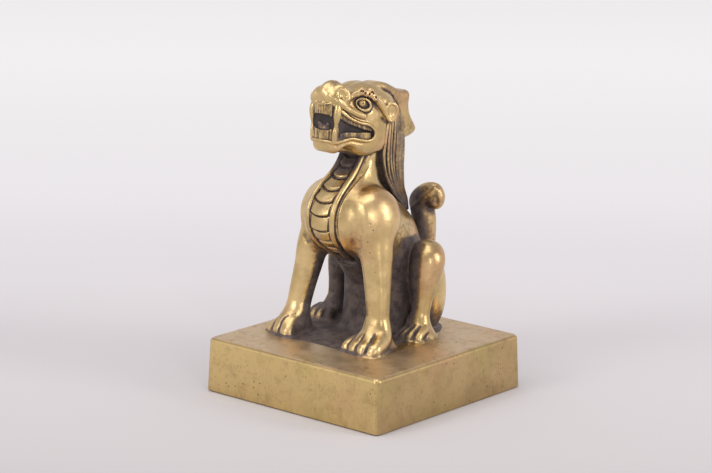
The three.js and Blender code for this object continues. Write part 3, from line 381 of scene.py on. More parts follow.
def outline_distance(outline, y, z):
    """Signed distance to a closed outline in the (y, z) plane, negative inside."""
    y, z = np.broadcast_arrays(y, z)
    nearest = np.full(y.shape, 1e9)
    inside = np.zeros(y.shape, bool)
    for (ay, az), (by, bz) in zip(outline, np.roll(outline, -1, axis=0)):
        ey, ez = by - ay, bz - az
        length = max(ey * ey + ez * ez, 1e-12)
        share = np.clip(((y - ay) * ey + (z - az) * ez) / length, 0, 1)
        nearest = np.minimum(nearest, (y - ay - share * ey) ** 2 + (z - az - share * ez) ** 2)
        crosses = (az > z) != (bz > z)
        if ez != 0:
            inside ^= crosses & (y < ey * (z - az) / ez + ay)
    return np.where(inside, -1, 1) * np.sqrt(nearest)


def closed_spline(points, per_span=4):
    """A smooth closed outline through the points."""
    points = list(points)
    line = spline(points[-2:] + points + points[:2], per_span)
    return line[2 * per_span:-2 * per_span]


def on_side(side, stations):
    """The left side's stations for the side that is asked for, 1 for the left and -1 for the right."""
    return [(x * side, *others) for x, *others in stations]


def from_tail(stations, height=TAIL_TOP):
    """Stations given from the tail's middle and its top, or from another height."""
    return [(TAIL_X + x, TAIL_Y + y, height + z, radius) for x, y, z, radius in stations]


def cut_below(clay, height):
    window, _, _, z = clay.whole()
    clay.field[window] = np.maximum(clay.field[window], height - z)


# Trunk, neck, legs and tail

def sculpt_trunk(clay):
    clay.chain([
        (0, -2.5, 38.0, 11.6), (0, 4.0, 34.3, 13.2), (0, 10.0, 27.4, 13.4),
        (0, 15.0, 20.0, 13.7), (0, 16.0, 11.5, 13.9), (0, 15.4, 2.0, 14.2), (0, 15.2, -4.0, 15.4),
    ], blend=2, stretch=(0.9, 1, 1))
    clay.egg(CHEST, CHEST_RADII, blend=3)
    clay.egg((0, 13.5, 30.6), (9.2, 10.8, 8.6), blend=4)
    # The shoulders and the base of the neck run together in front of the mane.
    clay.chain([
        (0, -0.6, 42.6, 9.3), (0, -0.1, 48.0, 7.7), (0, 0.9, 52.0, 6.7),
        (0, 1.8, 55.5, 6.1), (0, 2.8, 59.5, 6.3), (0, 3.6, 64.0, 6.9),
    ], blend=3.6)


def sculpt_foreleg(clay, side, step, inward):
    x = STANCE - inward
    y = FORE_ANKLE_Y - step
    top = SHOULDER_X - inward * 0.8

    def down(x_share, y_share):
        """A place between the shoulder and the ankle."""
        return mix(top, x, x_share), mix(SHOULDER_Y, y, y_share)

    leg = [
        (top - 1.0, -2.2, 42.5, 5.0), (top + 0.2, -2.9, 38.5, 6.6), (top + 0.9, SHOULDER_Y, 33.5, 6.2),
        (*down(0.55, 0.35), 27.0, 5.0), (*down(0.72, 0.55), 21.0, 4.3), (*down(0.9, 0.8), 14.0, 3.8),
        (x, y, 8.0, 3.55), (x, y - 0.3, 3.0, 3.9),
    ]
    clay.chain(on_side(side, leg), blend=2.6, per_span=LEG_STEPS)
    clay.egg((top * side, -2.6, 38.8), (6.6, 9.2, 9.4), blend=2.5, turn=(0.12, 0, -0.16 * side))
    # A soft ridge down the outside of the leg
    shin_x, shin_y = down(0.7, 0.6)
    ridge = [
        (top + 4.2 - inward, -6.0, 30.0, 1.6), (shin_x + 2.9 - inward * 0.8, shin_y - 1.6, 20.0, 1.5),
        (x + 2.3 - inward * 0.5, y - 1.5, 10.0, 1.4), (x + 2.4 - inward * 0.2, y - 2.6, 4.5, 1.2),
    ]
    clay.chain(on_side(side, ridge), blend=1.6, per_span=LEG_STEPS)
    # Instep and heel
    instep = [(x, y - 1.2, 6.8, 2.9), (x + 0.6, y - 3.4, 4.9, 2.9), (x + 0.9, y - 5.8, 3.0, 2.5)]
    clay.chain(on_side(side, instep), blend=1.5, stretch=(1.25, 1, 1))
    clay.egg(((x + 0.6) * side, y + 0.4, 0.6), (4.6, 4.6, 3.2), blend=1.8)


def settle(clay, stations):
    """A line's stations, moved on to the clay's surface."""
    places = spline(stations, 3)
    for _ in range(5):
        slope = 2 * np.column_stack([clay.at(places + step) - clay.at(places - step)
                                     for step in np.eye(3) * 0.25])
        places = places - (clay.at(places) / np.maximum((slope ** 2).sum(1), 0.3))[:, None] * slope
    return places


def sculpt_toes(clay, toes, lines, height, line, melt):
    """Long toes that run together into one paw, with narrow lines cut between them."""
    for root_x, root_y, tip_x, tip_y, radius in toes:
        clay.chain([
            (root_x, root_y, height - radius, radius),
            (mix(root_x, tip_x, 0.55), mix(root_y, tip_y, 0.55), height * 0.5, radius),
            (tip_x, tip_y + 0.1, 1.3, radius * 0.98), (tip_x, tip_y, 0.2, radius * 0.9),
        ], blend=melt)
    settled = [settle(clay, stations) for stations in lines]
    for places in settled:
        clay.chain([(*place, line * min(1.0, 0.4 + 0.3 * i)) for i, place in enumerate(places)],
                   blend=0.2, cut=True, per_span=2)
    cut_lines.extend(settled)


def sculpt_paws(clay):
    # The paws' full outer sides and their blunt fronts, under the toes
    clay.chain([(18.4, -7.0, 7.5, 1.8), (19.8, -8.6, 4.2, 2.6), (21.3, -12.0, 2.4, 2.5),
                (22.0, -14.6, 1.6, 2.0)], blend=1.8)
    clay.chain([(12.4, -14.9, 1.2, 1.7), (15.3, -15.8, 1.3, 1.8), (18.6, -16.1, 1.3, 1.8),
                (21.6, -14.9, 1.2, 1.8)], blend=0.6)
    clay.chain([(-19.4, -14.6, 1.2, 1.5), (-16.0, -15.9, 1.3, 1.7), (-12.4, -16.1, 1.3, 1.8)], blend=0.8)
    sculpt_toes(clay, NEAR_TOES, NEAR_LINES, 4.9, 0.36, 1.3)
    sculpt_toes(clay, FAR_TOES, FAR_LINES, 4.7, 0.25, 1.8)
    for side in (1, -1):
        toes = [(root_x * side, root_y, tip_x * side, tip_y, radius)
                for root_x, root_y, tip_x, tip_y, radius in HIND_TOES]
        lines = [on_side(side, stations) for stations in HIND_LINES]
        sculpt_toes(clay, toes, lines, 4.2, 0.36, 0.9)
    # The far paw's worn ridge
    clay.chain([(-11.6, -9.6, 6.9, 0.5), (-12.0, -13.0, 4.6, 0.7), (-12.2, -16.0, 3.2, 0.7),
                (-12.2, -17.7, 1.0, 0.6)], blend=1.0)


def sculpt_hind_leg(clay, side, inward):
    knee_x, knee_y, knee_z = KNEE
    knee_x -= inward
    x = HIND_X - inward
    shank = [
        (knee_x - 1.0, knee_y + 1.2, knee_z + 0.3, 5.4), (knee_x, knee_y, knee_z - 0.8, 5.4),
        (mix(knee_x, x + 0.4, 0.5), mix(knee_y, HIND_Y, 0.22), 20.2, 5.0),
        (x + 0.4, mix(knee_y, HIND_Y, 0.45), 16.8, 4.4), (x + 0.5, mix(knee_y, HIND_Y, 0.75), 11.5, 3.3),
        (x + 0.5, HIND_Y + 0.1, 6.2, 3.0), (x + 0.7, HIND_Y - 0.2, 1.6, 3.9),
    ]
    clay.chain(on_side(side, shank), blend=1.2)
    clay.egg(((x - 2.6) * side, 18.9, 14.6), (5.5, 6.5, 14.6), blend=1.4, turn=(0.12, 0, 0))
    # The groove between the shank and the haunch
    groove = [(x + 3.6, 17.4, 17.5, 0.3), (x + 3.7, 16.2, 12.0, 0.6), (x + 3.0, 15.4, 6.0, 0.9),
              (x + 2.8, 15.4, 1.6, 0.9)]
    clay.chain(on_side(side, groove), blend=0.9, cut=True)
    # The heel spreads into the ground
    clay.egg(((x + 1.6) * side, HIND_Y - 0.6, 0.4), (5.0, 4.0, 2.2), blend=2.2)
    instep = [(x + 0.2, HIND_Y - 1.0, 4.4, 2.7), (x + 1.0, HIND_Y - 3.4, 2.6, 2.2),
              (x + 1.0, HIND_Y - 4.6, 1.8, 1.8)]
    clay.chain(on_side(side, instep), blend=1.4, stretch=(1.4, 1, 1))


def sculpt_tail(clay):
    """A thick tail that ends in a tuft, leaning to the side, with a ridge and a hollow on its front."""
    clay.chain(from_tail([(-2.6, -5.5, 9.0, 4.2), (-1.4, -1.2, 16.0, 3.8), (-0.2, 0, 24.0, 3.8),
                          (0, 0, 31.0, 3.9), (-0.6, -0.1, 36.0, 3.9)], height=0), blend=1.6)
    clay.egg((TAIL_X + 0.7, TAIL_Y - 0.4, TAIL_TOP - 4.3), (6.6, 3.5, 3.9), blend=1.2, turn=(0, -0.58, 0))
    clay.egg((TAIL_X + 4.9, TAIL_Y - 0.5, TAIL_TOP - 3.8), (3.1, 3.0, 4.1), blend=0.8, turn=(0, -0.12, 0))
    clay.chain(from_tail([(-2.0, -3.6, -8.4, 0.5), (1.0, -3.9, -6.2, 0.8), (3.6, -3.4, -3.4, 0.8),
                          (6.2, -2.2, -0.9, 0.5)]), blend=1.1)
    clay.chain(from_tail([(3.0, -4.2, -7.4, 0.3), (5.4, -4.0, -5.0, 0.6), (7.2, -3.0, -2.6, 0.4)]),
               blend=1.2, cut=True)
    clay.egg((TAIL_X + 7.3, TAIL_Y - 3.2, TAIL_TOP - 5.0), (1.3, 1.3, 2.4), blend=0.8, cut=True)


def ground_distance(x, y):
    """How far a place on the top is from the edge of the raised ground, negative inside."""
    return outline_distance(closed_spline(GROUND_OUTLINE, 3), x, y)


def sculpt_ground(clay):
    """The casting's uneven ground, a low raised patch that the paws and the belly melt into."""
    def distance(x, y, z):
        edge = ground_distance(x[:, :, 0], y[:, :, 0])[:, :, None]
        height = mix(0.3, -0.3, smooth_step(-3.0, 1.4, edge)) - smooth_step(1.2, 3.0, edge)
        return z - height

    high = clay.high()
    clay.shape(clay.low, (high[0], high[1], 5.0), distance, blend=1.8)


def sculpt_body():
    clay = Clay((-27, -22, -1.2), (27, 34.9, 62), 0.3)
    sculpt_trunk(clay)
    sculpt_foreleg(clay, 1, 0, 0)
    sculpt_foreleg(clay, -1, RIGHT_STEP, RIGHT_IN)
    for side, inward in ((1, 0.0), (-1, RIGHT_HIND_IN)):
        sculpt_hind_leg(clay, side, inward)
        # A soft hollow between the breast and the shoulder
        hollow = [(10.2, -12.4, 47.0, 0.5), (11.3, -12.4, 42.5, 1.0), (11.5, -12.0, 36.5, 0.9),
                  (10.4, -10.8, 31.0, 0.5)]
        clay.chain(on_side(side, hollow), blend=2.8, cut=True)
    sculpt_paws(clay)
    sculpt_tail(clay)
    sink_band(clay)
    sculpt_ground(clay)
    cut_below(clay, -0.35)
    return clay


# Chest band

def band_line():
    """The line of the band down the chest for x = 0, from the throat to the belly."""
    return spline([
        (-1.6, 59.0), (-3.0, 56.4), (-5.0, 53.8), (-7.4, 51.4), (-11.4, 48.3), (-14.7, 45.2), (-16.5, 41.7),
        (-16.8, 37.8), (-15.7, 34.3), (-12.3, 30.4), (-6.9, 26.6), (-1.6, 24.2),
    ], BAND_SPAN)


def band_half(height):
    """Half the distance between the cords at a height."""
    return np.interp(height, [24, 26.5, 29, 33, 38, 44, 49, 53, 58],
                     [0.9, 2.6, 3.7, 4.4, 4.8, 4.85, 4.6, 4.0, 3.9])


def band_bulge(height):
    """How sharply the band curves round the chest, more so on the neck."""
    return 0.045 + 0.045 * smooth_step(49, 53, height)


def band_place(x, y, z):
    """How far a place is outside the band's surface, how far along the band it is, and the height there."""
    line = band_line()
    flat_y = y - band_bulge(z) * x * x
    best = np.full(np.broadcast_shapes(x.shape, y.shape, z.shape), 1e9, np.float32)
    out = np.zeros_like(best)
    share = np.zeros_like(best)
    for i in range(len(line) - 1):
        a, b = line[i], line[i + 1]
        ey, ez = b - a
        length = math.hypot(ey, ez)
        t = np.clip(((flat_y - a[0]) * ey + (z - a[1]) * ez) / length ** 2, 0, 1)
        gy = flat_y - a[0] - t * ey
        gz = z - a[1] - t * ez
        gap = gy * gy + gz * gz
        closer = gap < best
        best = np.where(closer, gap, best)
        signed = (gy * ez - gz * ey) / length
        out = np.where(closer, np.sign(signed) * np.sqrt(gap), out)
        share = np.where(closer, (i + t) / (len(line) - 1), share)
    heights = np.interp(share, np.linspace(0, 1, len(line)), line[:, 1])
    return out, share, heights


def sink_band(clay):
    """Takes the body down under the band, so that the plates lie in it."""
    window, x, y, z = clay.part((-6, -20, 23), (6, 3, 61))
    x = np.abs(x)
    out, share, heights = band_place(x, y, z)
    inside = np.minimum(out + 1.1, band_half(heights) - 0.2 - x)
    to_end = np.minimum(share, 1 - share)
    inside = np.minimum(inside, to_end * BAND_LENGTH - 0.2)
    beside = np.minimum(out + 0.3, band_half(heights) + 2.2 - x)
    beside = np.minimum(beside, to_end * BAND_LENGTH / 2 - 0.2)
    there = clay.field[window]
    soft = 1.2
    overlap = np.maximum(soft - np.abs(there - beside), 0)
    softened = np.maximum(there, beside) + overlap * overlap / (4 * soft)
    clay.field[window] = np.maximum(softened, inside)


def sculpt_band():
    """Overlapping plates down the chest with a raised cord along each side."""
    line = band_line()
    clay = Clay((-8, -20, 21), (8, 4, 61), 0.18, mirrored=True)
    window, x, y, z = clay.whole()
    out, share, heights = band_place(x, y, z)
    edges = np.array(PLATE_EDGES[::-1])
    sagged = len(edges) - np.interp(heights - 0.05 * x * x, edges, np.arange(len(edges)))
    along = sagged - np.floor(sagged)
    plate = np.clip(len(edges) - 1 - np.floor(sagged).astype(int), 0, len(edges) - 2)
    to_edge = np.minimum(along, 1 - along) * (edges[plate + 1] - edges[plate])
    low_down = smooth_step(39, 34, heights)
    lap = (-0.3 + 0.7 * along ** 1.3) * (1 - 0.75 * low_down)
    groove = 0.8 * np.exp(-(to_edge / (0.26 + 0.1 * low_down)) ** 2)
    half = band_half(heights) - 0.85
    past_end = np.maximum(-share, share - 1) * BAND_LENGTH + 0.2
    plates = np.maximum(out - (lap - groove), x - half)
    clay.field[window] = np.maximum(plates, np.maximum(-out - 3.0, past_end))
    cord = []
    for i in range(0, len(line), BAND_SPAN):
        py, pz = line[i]
        px = float(band_half(pz))
        cord.append((px, py + float(band_bulge(pz)) * px * px - 0.05, pz, CORD_RADIUS))
    # A dark line on either side of the cord
    for sideways, radius in ((-1.05, 0.38), (1.0, 0.3)):
        clay.chain([(px + sideways, py - 0.35, pz, radius) for px, py, pz, _ in cord],
                   blend=0.2, cut=True, per_span=4)
    clay.chain(cord, blend=0.1, per_span=4)
    return clay


# Head

def both_sides(half):
    """A closed outline from its right half, top or front to bottom or back."""
    return list(half) + [(-x, other) for x, other in reversed(half) if x > 0]


def side_of_head(y):
    return float(np.interp(y, MUZZLE[:, 1], MUZZLE[:, 0]))


def front_of_head(x):
    return float(np.interp(x, MUZZLE[:, 0], MUZZLE[:, 1]))


def sculpt_head():
    clay = Clay((-12, -18.5, 54.5), (12, 15.5, 84), 0.17, mirrored=True)
    side = closed_spline([
        (-15.9, 75.0), (-16.3, 77.0), (-15.8, 78.6), (-14.2, 79.7), (-11.0, 80.2), (-8.0, 79.8),
        (-5.6, 79.0), (-2.8, 79.2), (0.5, 79.7), (4.0, 78.9), (7.6, 76.6), (10.0, 72.0), (10.6, 66.0),
        (9.4, 60.8), (6.0, 58.2), (1.6, 57.4), (-3.0, 57.6), (-6.2, 59.0), (-9.0, 60.8), (-11.2, 60.4),
        (-13.2, 59.8), (-15.2, 60.8), (-16.1, 63.0), (-16.0, 67.0), (-15.8, 71.5),
    ])
    front = both_sides([
        (0.0, 80.6), (1.8, 80.3), (3.4, 79.4), (5.2, 78.0), (7.2, 76.2), (8.6, 73.5), (9.1, 69.0),
        (9.2, 64.5), (8.6, 60.8), (6.8, 57.9), (4.0, 56.4), (0.0, 56.0),
    ])
    clay.block(side, both_sides(HEAD_PLAN), front, 1.9)
    clay.egg((2.0, 1.2, 76.4), (4.0, 6.5, 3.3), blend=1.5)
    clay.egg((0, 7.6, 72.8), (8.0, 5.5, 4.4), blend=1.0)
    clay.egg((7.1, 5.4, 72.4), (2.3, 3.2, 3.3), blend=1.5)
    # A hollow under the jaw between the chin and the throat
    clay.chain([(0, -10.0, 58.7, 2.7), (7, -10.2, 59.1, 2.8), (11, -10.2, 59.2, 2.8)], blend=1.5, cut=True)
    # The mouth is open right through from side to side. Its dark core is left standing inside.
    edge = [(y, z) for _, y, z in LIP_EDGE[3:-3]]
    opening = [(-24, 75.2)] + edge + [(-24, 63.9)]
    clay.slab(opening, lambda y, z: 30 + 0 * y, 0.2, blend=0.3, cut=True)
    core = closed_spline([(-12.9, 76.0), (-12.8, 62.5), (3.0, 61.0), (5.0, 68.0), (-2.0, 72.5)], 3)
    clay.slab(core, lambda y, z: np.interp(y, [-13, -9, -5, 0, 4], [4.5, 5.2, 6.2, 6.9, 7.1]) + 0 * z,
              0.6, blend=0.4)
    clay.chain([(4.0, -13.5, 76.5, 0.75), (4.0, -13.5, 62.0, 0.75)], per_span=1)
    # Eye sockets, set back under the brows
    clay.egg((8.3, -4.7, 74.5), (2.1, 4.9, 2.65), blend=0.5, cut=True, turn=(-0.48, 0, -0.26))
    sculpt_snout(clay)
    sculpt_lips(clay)
    sculpt_brow(clay)
    sculpt_ear(clay)
    cut_crease(clay, 0.45)
    # The groove that sweeps from behind the eye down to the mane
    clay.chain([(8.3, -1.8, 72.3, 0.3), (8.9, 0.0, 71.0, 0.42), (9.2, 1.6, 69.8, 0.42),
                (9.3, 4.3, 67.6, 0.38), (9.0, 6.4, 64.0, 0.35)], blend=0.5, cut=True)
    return clay


def sculpt_snout(clay):
    """A bulb on top, a curled nostril on the left, a worn one lower on the right, and a fold below."""
    clay.egg((0, -11.2, 79.3), (2.5, 4.2, 2.55), blend=1.8)
    clay.mirrored = False
    clay.egg((3.5, -11.6, 78.4), (2.0, 2.3, 2.6), blend=2.0)
    clay.egg((-3.2, -12.5, 76.9), (2.1, 2.7, 2.7), blend=2.0)
    clay.chain([(3.4, -12.4, 79.9, 0.5), (4.2, -11.6, 80.2, 0.65), (5.0, -10.9, 79.8, 0.75),
                (5.6, -10.4, 78.8, 0.85), (5.9, -10.3, 77.5, 0.95), (5.9, -10.8, 76.5, 1.0),
                (5.4, -11.7, 76.1, 0.8), (4.7, -12.7, 76.6, 0.5)], blend=1.0)
    clay.egg((4.5, -11.2, 78.3), (1.6, 1.7, 2.3), blend=0.4)
    clay.egg((6.0, -13.0, 78.8), (1.25, 1.3, 2.0), blend=0.35, cut=True, turn=(0.35, 0, 0))
    clay.mirrored = True
    clay.chain([(3.6, -15.4, 79.0, 0.1), (4.4, -14.6, 78.1, 0.28), (5.3, -12.9, 76.1, 0.34),
                (6.1, -11.0, 74.7, 0.34), (6.8, -9.0, 74.1, 0.2)], blend=0.5, cut=True)
    clay.chain([(3.0, -15.0, 78.3, 0.3), (3.7, -14.7, 77.5, 0.6), (4.6, -14.0, 76.4, 0.8),
                (5.4, -12.4, 75.0, 0.95), (6.2, -10.2, 73.4, 0.95), (7.0, -7.4, 71.9, 0.8),
                (7.8, -4.6, 70.8, 0.5)], blend=1.2)


def sculpt_lips(clay):
    """A cord round the mouth with a fine line along its outside."""
    middle = np.array((-8.0, 67.5))
    line = []
    for i, (x, y, z) in enumerate(LIP_EDGE):
        before = np.array(LIP_EDGE[max(i - 1, 0)])
        after = np.array(LIP_EDGE[min(i + 1, len(LIP_EDGE) - 1)])
        along = (after - before) / np.linalg.norm(after - before)
        out = np.array((-along[2], along[1]))
        if (np.array((y, z)) - middle) @ out < 0:
            out = -out
        if y > -15:
            line.append((side_of_head(y + out[0]) + 0.15, y + out[0], z + out[1], 0.3))
    clay.chain(line, blend=0.3, cut=True, per_span=4)
    radii = np.interp(np.arange(len(LIP_EDGE)), [0, 3, 6, 19, 22], [0.22, 0.28, 0.52, 0.52, 0.4])
    clay.chain([(x, y, z, radius) for (x, y, z), radius in zip(LIP_EDGE, radii)], blend=0.2, per_span=4)
    clay.chain([(4.5, -14.9, 62.6, 0.2), (2.8, -16.1, 62.9, 0.26), (0, -16.6, 62.9, 0.26)],
               blend=0.3, cut=True)


def sculpt_brow(clay):
    """A rope of a brow over each eye. The near one is knobbly, the far one lower and smooth."""
    stations = [
        (5.9, -9.6, 76.9, 0.7), (6.7, -7.6, 78.0, 0.95), (7.4, -5.4, 78.4, 1.1), (7.9, -3.1, 77.7, 1.2),
        (8.4, -0.9, 76.3, 1.25), (8.8, 1.1, 74.5, 1.3), (9.1, 2.7, 72.5, 1.2), (9.2, 3.4, 70.9, 0.9),
    ]
    line = spline(stations, 6)
    clay.mirrored = False
    clay.chain(stations, blend=0.8)
    clay.chain([(-x, y, z - max(0.0, 1.7 * (z - 72) / 6), radius * 0.85) for x, y, z, radius in stations],
               blend=0.8)
    for i in range(7, 27, 2):
        x, y, z, radius = line[i]
        lift = 0.7 * math.sin(i * 2.4)
        size = radius * (0.68 + 0.18 * math.sin(i * 1.7))
        clay.egg((x + 0.5, y - 0.2 + 0.3 * math.sin(i * 3.1), z + 0.25 + lift),
                 (size, size * 1.1, size), blend=0.15)
    for i in range(8, 26, 2):
        x, y, z, _ = line[i]
        clay.egg((x + 1.3, y + 0.2, z + 0.3 + 0.8 * math.sin(i * 1.9)),
                 (0.75, 0.34, 0.4), blend=0.25, cut=True)
    clay.mirrored = True


def sculpt_ear(clay):
    """A leaf-shaped ear that stands off the head, with a raised rim and a hollow middle."""
    turn = (0, 0, -0.45)
    facing = np.array(Matrix.Rotation(turn[2], 3, "Z"))
    out, back = facing[:, 0], facing[:, 1]
    middle = np.array((10.1, 5.2, 71.1))
    clay.egg(middle - out * 0.9, (1.4, 2.1, 3.0), blend=0.9, turn=turn)
    clay.egg(middle, (0.75, 2.1, 3.0), blend=0.1, turn=turn)
    rim = []
    for angle in RIM_ANGLES:
        across = 1.85 * math.cos(angle) * (1 + 0.14 * math.sin(angle))
        where = middle + out * 0.5 + back * across + np.array((0, 0, 2.7 * math.sin(angle)))
        rim.append((*where, 0.55))
    clay.chain(rim, blend=0.15, per_span=3)
    clay.egg(middle + out * 1.05, (0.75, 1.2, 1.9), blend=0.25, cut=True, turn=turn)


def cut_crease(clay, radius):
    """The soft groove between the crest and the head or the mane, fainter in front."""
    clay.chain([(*place, radius * min(1.0, 0.25 + 0.18 * i)) for i, place in enumerate(CREST_EDGE)],
               blend=1.1, cut=True, per_span=3)


def sculpt_crest():
    clay = Clay((-6.5, -2.5, 57.5), (6.5, 28, 83), 0.25, mirrored=True)
    outline = closed_spline([
        (1.0, 76.0), (3.2, 78.2), (5.8, 79.1), (9.0, 79.0), (12.2, 78.2), (15.0, 76.9), (17.8, 75.6),
        (20.4, 74.9), (23.0, 74.3), (23.6, 72.6), (23.1, 70.0), (23.9, 66.9), (26.4, 63.6), (27.2, 61.8),
        (26.2, 60.2), (22.8, 59.4), (18.5, 59.6), (13.0, 62.0), (8.0, 66.0), (3.0, 73.0),
    ])

    def width(y, z):
        return np.interp(y, [-1, 3, 10, 16, 22, 26], [2.9, 3.3, 3.7, 3.7, 3.4, 3.0]) + 0 * z

    clay.slab(outline, width, 2.2)
    clay.chain([(3.8, 8.6, 76.8, 0.2), (4.3, 13.4, 72.6, 0.35), (4.3, 16.9, 68.4, 0.35),
                (3.9, 19.6, 63.2, 0.25)], blend=1.6, cut=True)
    return clay


# Mane

def sculpt_mane():
    clay = Clay((-12, 1.5, 32.5), (12, 29, 77), 0.2, mirrored=True)
    core = [(0, mix(front, rear, 0.45), z, max(0.3, min(half, (rear - front) / 2) - 0.5))
            for z, half, front, rear in MANE_ROWS]
    clay.chain(core, per_span=3)
    # Strands from the middle of the back to the front edge, tapering to the shared tip
    for strand in range(STRANDS):
        turn = math.pi / 2 * (1 - strand / (STRANDS - 0.6))
        stations = []
        for row, (z, half, front, rear) in enumerate(MANE_ROWS):
            share = row / (len(MANE_ROWS) - 1)
            wave = 0.15 * math.sin(strand * 2.1 + row * 1.3) if strand else 0
            back = front + (rear - front) * math.sin(turn) * 0.98
            stations.append((half * math.cos(turn) + wave, back, z, mix(0.68, 0.34, share ** 1.6)))
        clay.chain(stations, blend=0.1, per_span=4)
    cut_crease(clay, 0.5)
    return clay


# Teeth, tongue and eyes

def along_line(line, y):
    return float(np.interp(y, [row[0] for row in line], [row[1] for row in line]))


def tooth(clay, centre, size, edge=0.26, blend=0.1):
    """A small block with rounded edges."""
    half = np.array(size) / 2

    def distance(x, y, z):
        gaps = [np.abs(axis - middle) - (reach - edge)
                for axis, middle, reach in zip((x, y, z), centre, half)]
        out = np.sqrt(sum(np.maximum(gap, 0) ** 2 for gap in gaps))
        deep = np.minimum(np.maximum(np.maximum(gaps[0], gaps[1]), gaps[2]), 0)
        return out + deep - edge

    reach = half + blend + 3 * clay.step
    clay.shape(np.array(centre) - reach, np.array(centre) + reach, distance, blend)


def sculpt_teeth(upper):
    """Front teeth across the muzzle and a low row along each side, on a gum behind them."""
    clay = Clay((-9, -18, 61), (9, 2.5, 78.5), 0.16, mirrored=True)
    roots, tips = (UPPER_ROOTS, UPPER_TIPS) if upper else (LOWER_ROOTS, LOWER_TIPS)
    direction = -1 if upper else 1
    front_root = 75.7 if upper else 63.6
    length = 3.5 if upper else 3.6
    for i in range(FRONT_TEETH):
        x = 0.5 + i * FRONT_TOOTH
        y = front_of_head(x) + 0.95
        long = length + (0.0, 0.05, 0.2, 0.55, 1.1)[i]
        tooth(clay, (x, y, front_root + direction * long / 2), (1.0, 1.3, long))
    band = [(y, z + direction * -0.5) for y, z in roots] + [(y, z) for y, z in reversed(tips)]
    clay.slab(band, lambda y, z: np.interp(y, MUZZLE[:, 1], MUZZLE[:, 0]) - 0.4 + 0 * z, 0.3, blend=0.1)
    for i in range(SIDE_GAPS):
        y = mix(-11.7, -2.4, i / (SIDE_GAPS - 1))
        side = side_of_head(y) - 0.15
        clay.chain([(side, y, along_line(roots, y), 0.3), (side - 0.05, y, along_line(tips, y), 0.34)],
                   blend=0.05, cut=True)
    for i in range(FRONT_TEETH):
        x = FRONT_TOOTH * i + 0.02
        y = front_of_head(x) + 0.3
        clay.chain([(x, y, front_root, 0.2), (x, y, front_root + direction * 2.0, 0.26),
                    (x, y, front_root + direction * 4.2, 0.32)], blend=0.1, cut=True, per_span=2)
    gum = [(0.0, -14.9, front_root - direction * 0.2, 0.9), (3.4, -14.2, front_root - direction * 0.2, 0.9),
           (4.3, -12.4, along_line(roots, -12.4), 0.8), (5.2, -8.0, along_line(roots, -8.0), 0.75),
           (6.6, -1.5, along_line(roots, -1.5), 0.5)]
    clay.chain(gum, blend=0.2, per_span=3)
    return clay


def sculpt_fang():
    clay = Clay((1.5, -17.5, 61), (8.5, -10, 78), 0.16)
    clay.chain([(4.7, -13.5, 75.0, 0.9), (4.8, -13.7, 73.6, 1.2), (4.85, -13.9, 72.0, 1.2),
                (4.8, -14.1, 70.4, 0.85), (4.7, -14.3, 69.1, 0.5), (4.55, -14.4, 68.2, 0.5),
                (4.4, -14.5, 67.0, 0.75), (4.3, -14.5, 65.4, 0.9), (4.2, -14.5, 63.7, 0.85)], per_span=4)
    return clay


def sculpt_tongue():
    clay = Clay((-5.5, -17, 60), (5.5, 4, 74), 0.22, mirrored=True)
    clay.chain([(0, 1.0, 64.5, 1.6), (0, -4.0, 65.4, 1.9), (0, -8.5, 66.2, 2.1), (0, -12.0, 67.0, 2.2),
                (0, -13.6, 67.6, 1.7)], stretch=(1.75, 1, 1))
    clay.chain([(0, -4.0, 68.4, 0.35), (0, -9.0, 69.0, 0.45), (0, -14.6, 70.0, 0.4)], blend=0.8, cut=True)
    for y in (-12.0, -14.2):
        clay.egg((1.7, y, 69.0), (0.9, 0.8, 0.7), blend=0.3)
    return clay


def sculpt_eye():
    """A ball with a drilled pupil in a long raised lid, down in its socket."""
    clay = Clay((4.2, -10, 70.3), (10.5, 1.2, 79.3), 0.14)
    turn = np.array(Matrix.Rotation(EYE_TURN[2], 3, "Z") @ Matrix.Rotation(EYE_TURN[0], 3, "X"))
    out, back, up = turn[:, 0], turn[:, 1], turn[:, 2]
    clay.egg(EYE - out * 1.1, (0.7, 3.4, 2.2), turn=EYE_TURN)
    rim = []
    for angle in RIM_ANGLES:
        where = EYE + out * 0.1 + back * (0.25 + 2.5 * math.cos(angle))
        where = where + up * (1.72 * math.sin(angle) - 0.1)
        rim.append((*where, 0.4 + 0.12 * max(0.0, math.cos(angle + 0.8))))
    clay.chain(rim, blend=0.15, per_span=3)
    ball = EYE - back * 0.45 + up * 0.1
    clay.egg(ball + out * 0.1, (1.2, 1.25, 1.2), blend=0.05, turn=EYE_TURN)
    clay.egg(ball + out * 1.35, (0.5, 0.27, 0.27), blend=0.1, cut=True, turn=EYE_TURN)
    return clay


# From clay to pieces

def figure_to_row(points):
    return (points + np.array((FIGURE_X, 0, BLOCK_TOP))) * MM


def make_mesh(name, points, faces):
    mesh = bpy.data.meshes.new(name)
    corners = faces.shape[1]
    mesh.vertices.add(len(points))
    mesh.vertices.foreach_set("co", points.astype(np.float32).ravel())
    mesh.loops.add(faces.size)
    mesh.loops.foreach_set("vertex_index", faces.astype(np.int32).ravel())
    mesh.polygons.add(len(faces))
    mesh.polygons.foreach_set("loop_start", np.arange(0, faces.size, corners, dtype=np.int32))
    mesh.polygons.foreach_set("use_smooth", np.ones(len(faces), bool))
    mesh.update(calc_edges=True)
    mesh.validate()
    return mesh


def vertex_normals(points, faces):
    a, b, c, d = (points[faces[:, i]] for i in range(4))
    flat = np.cross(c - a, d - b)
    total = np.zeros_like(points)
    for i in range(4):
        np.add.at(total, faces[:, i], flat)
    return total / np.maximum(np.linalg.norm(total, axis=1, keepdims=True), 1e-12)


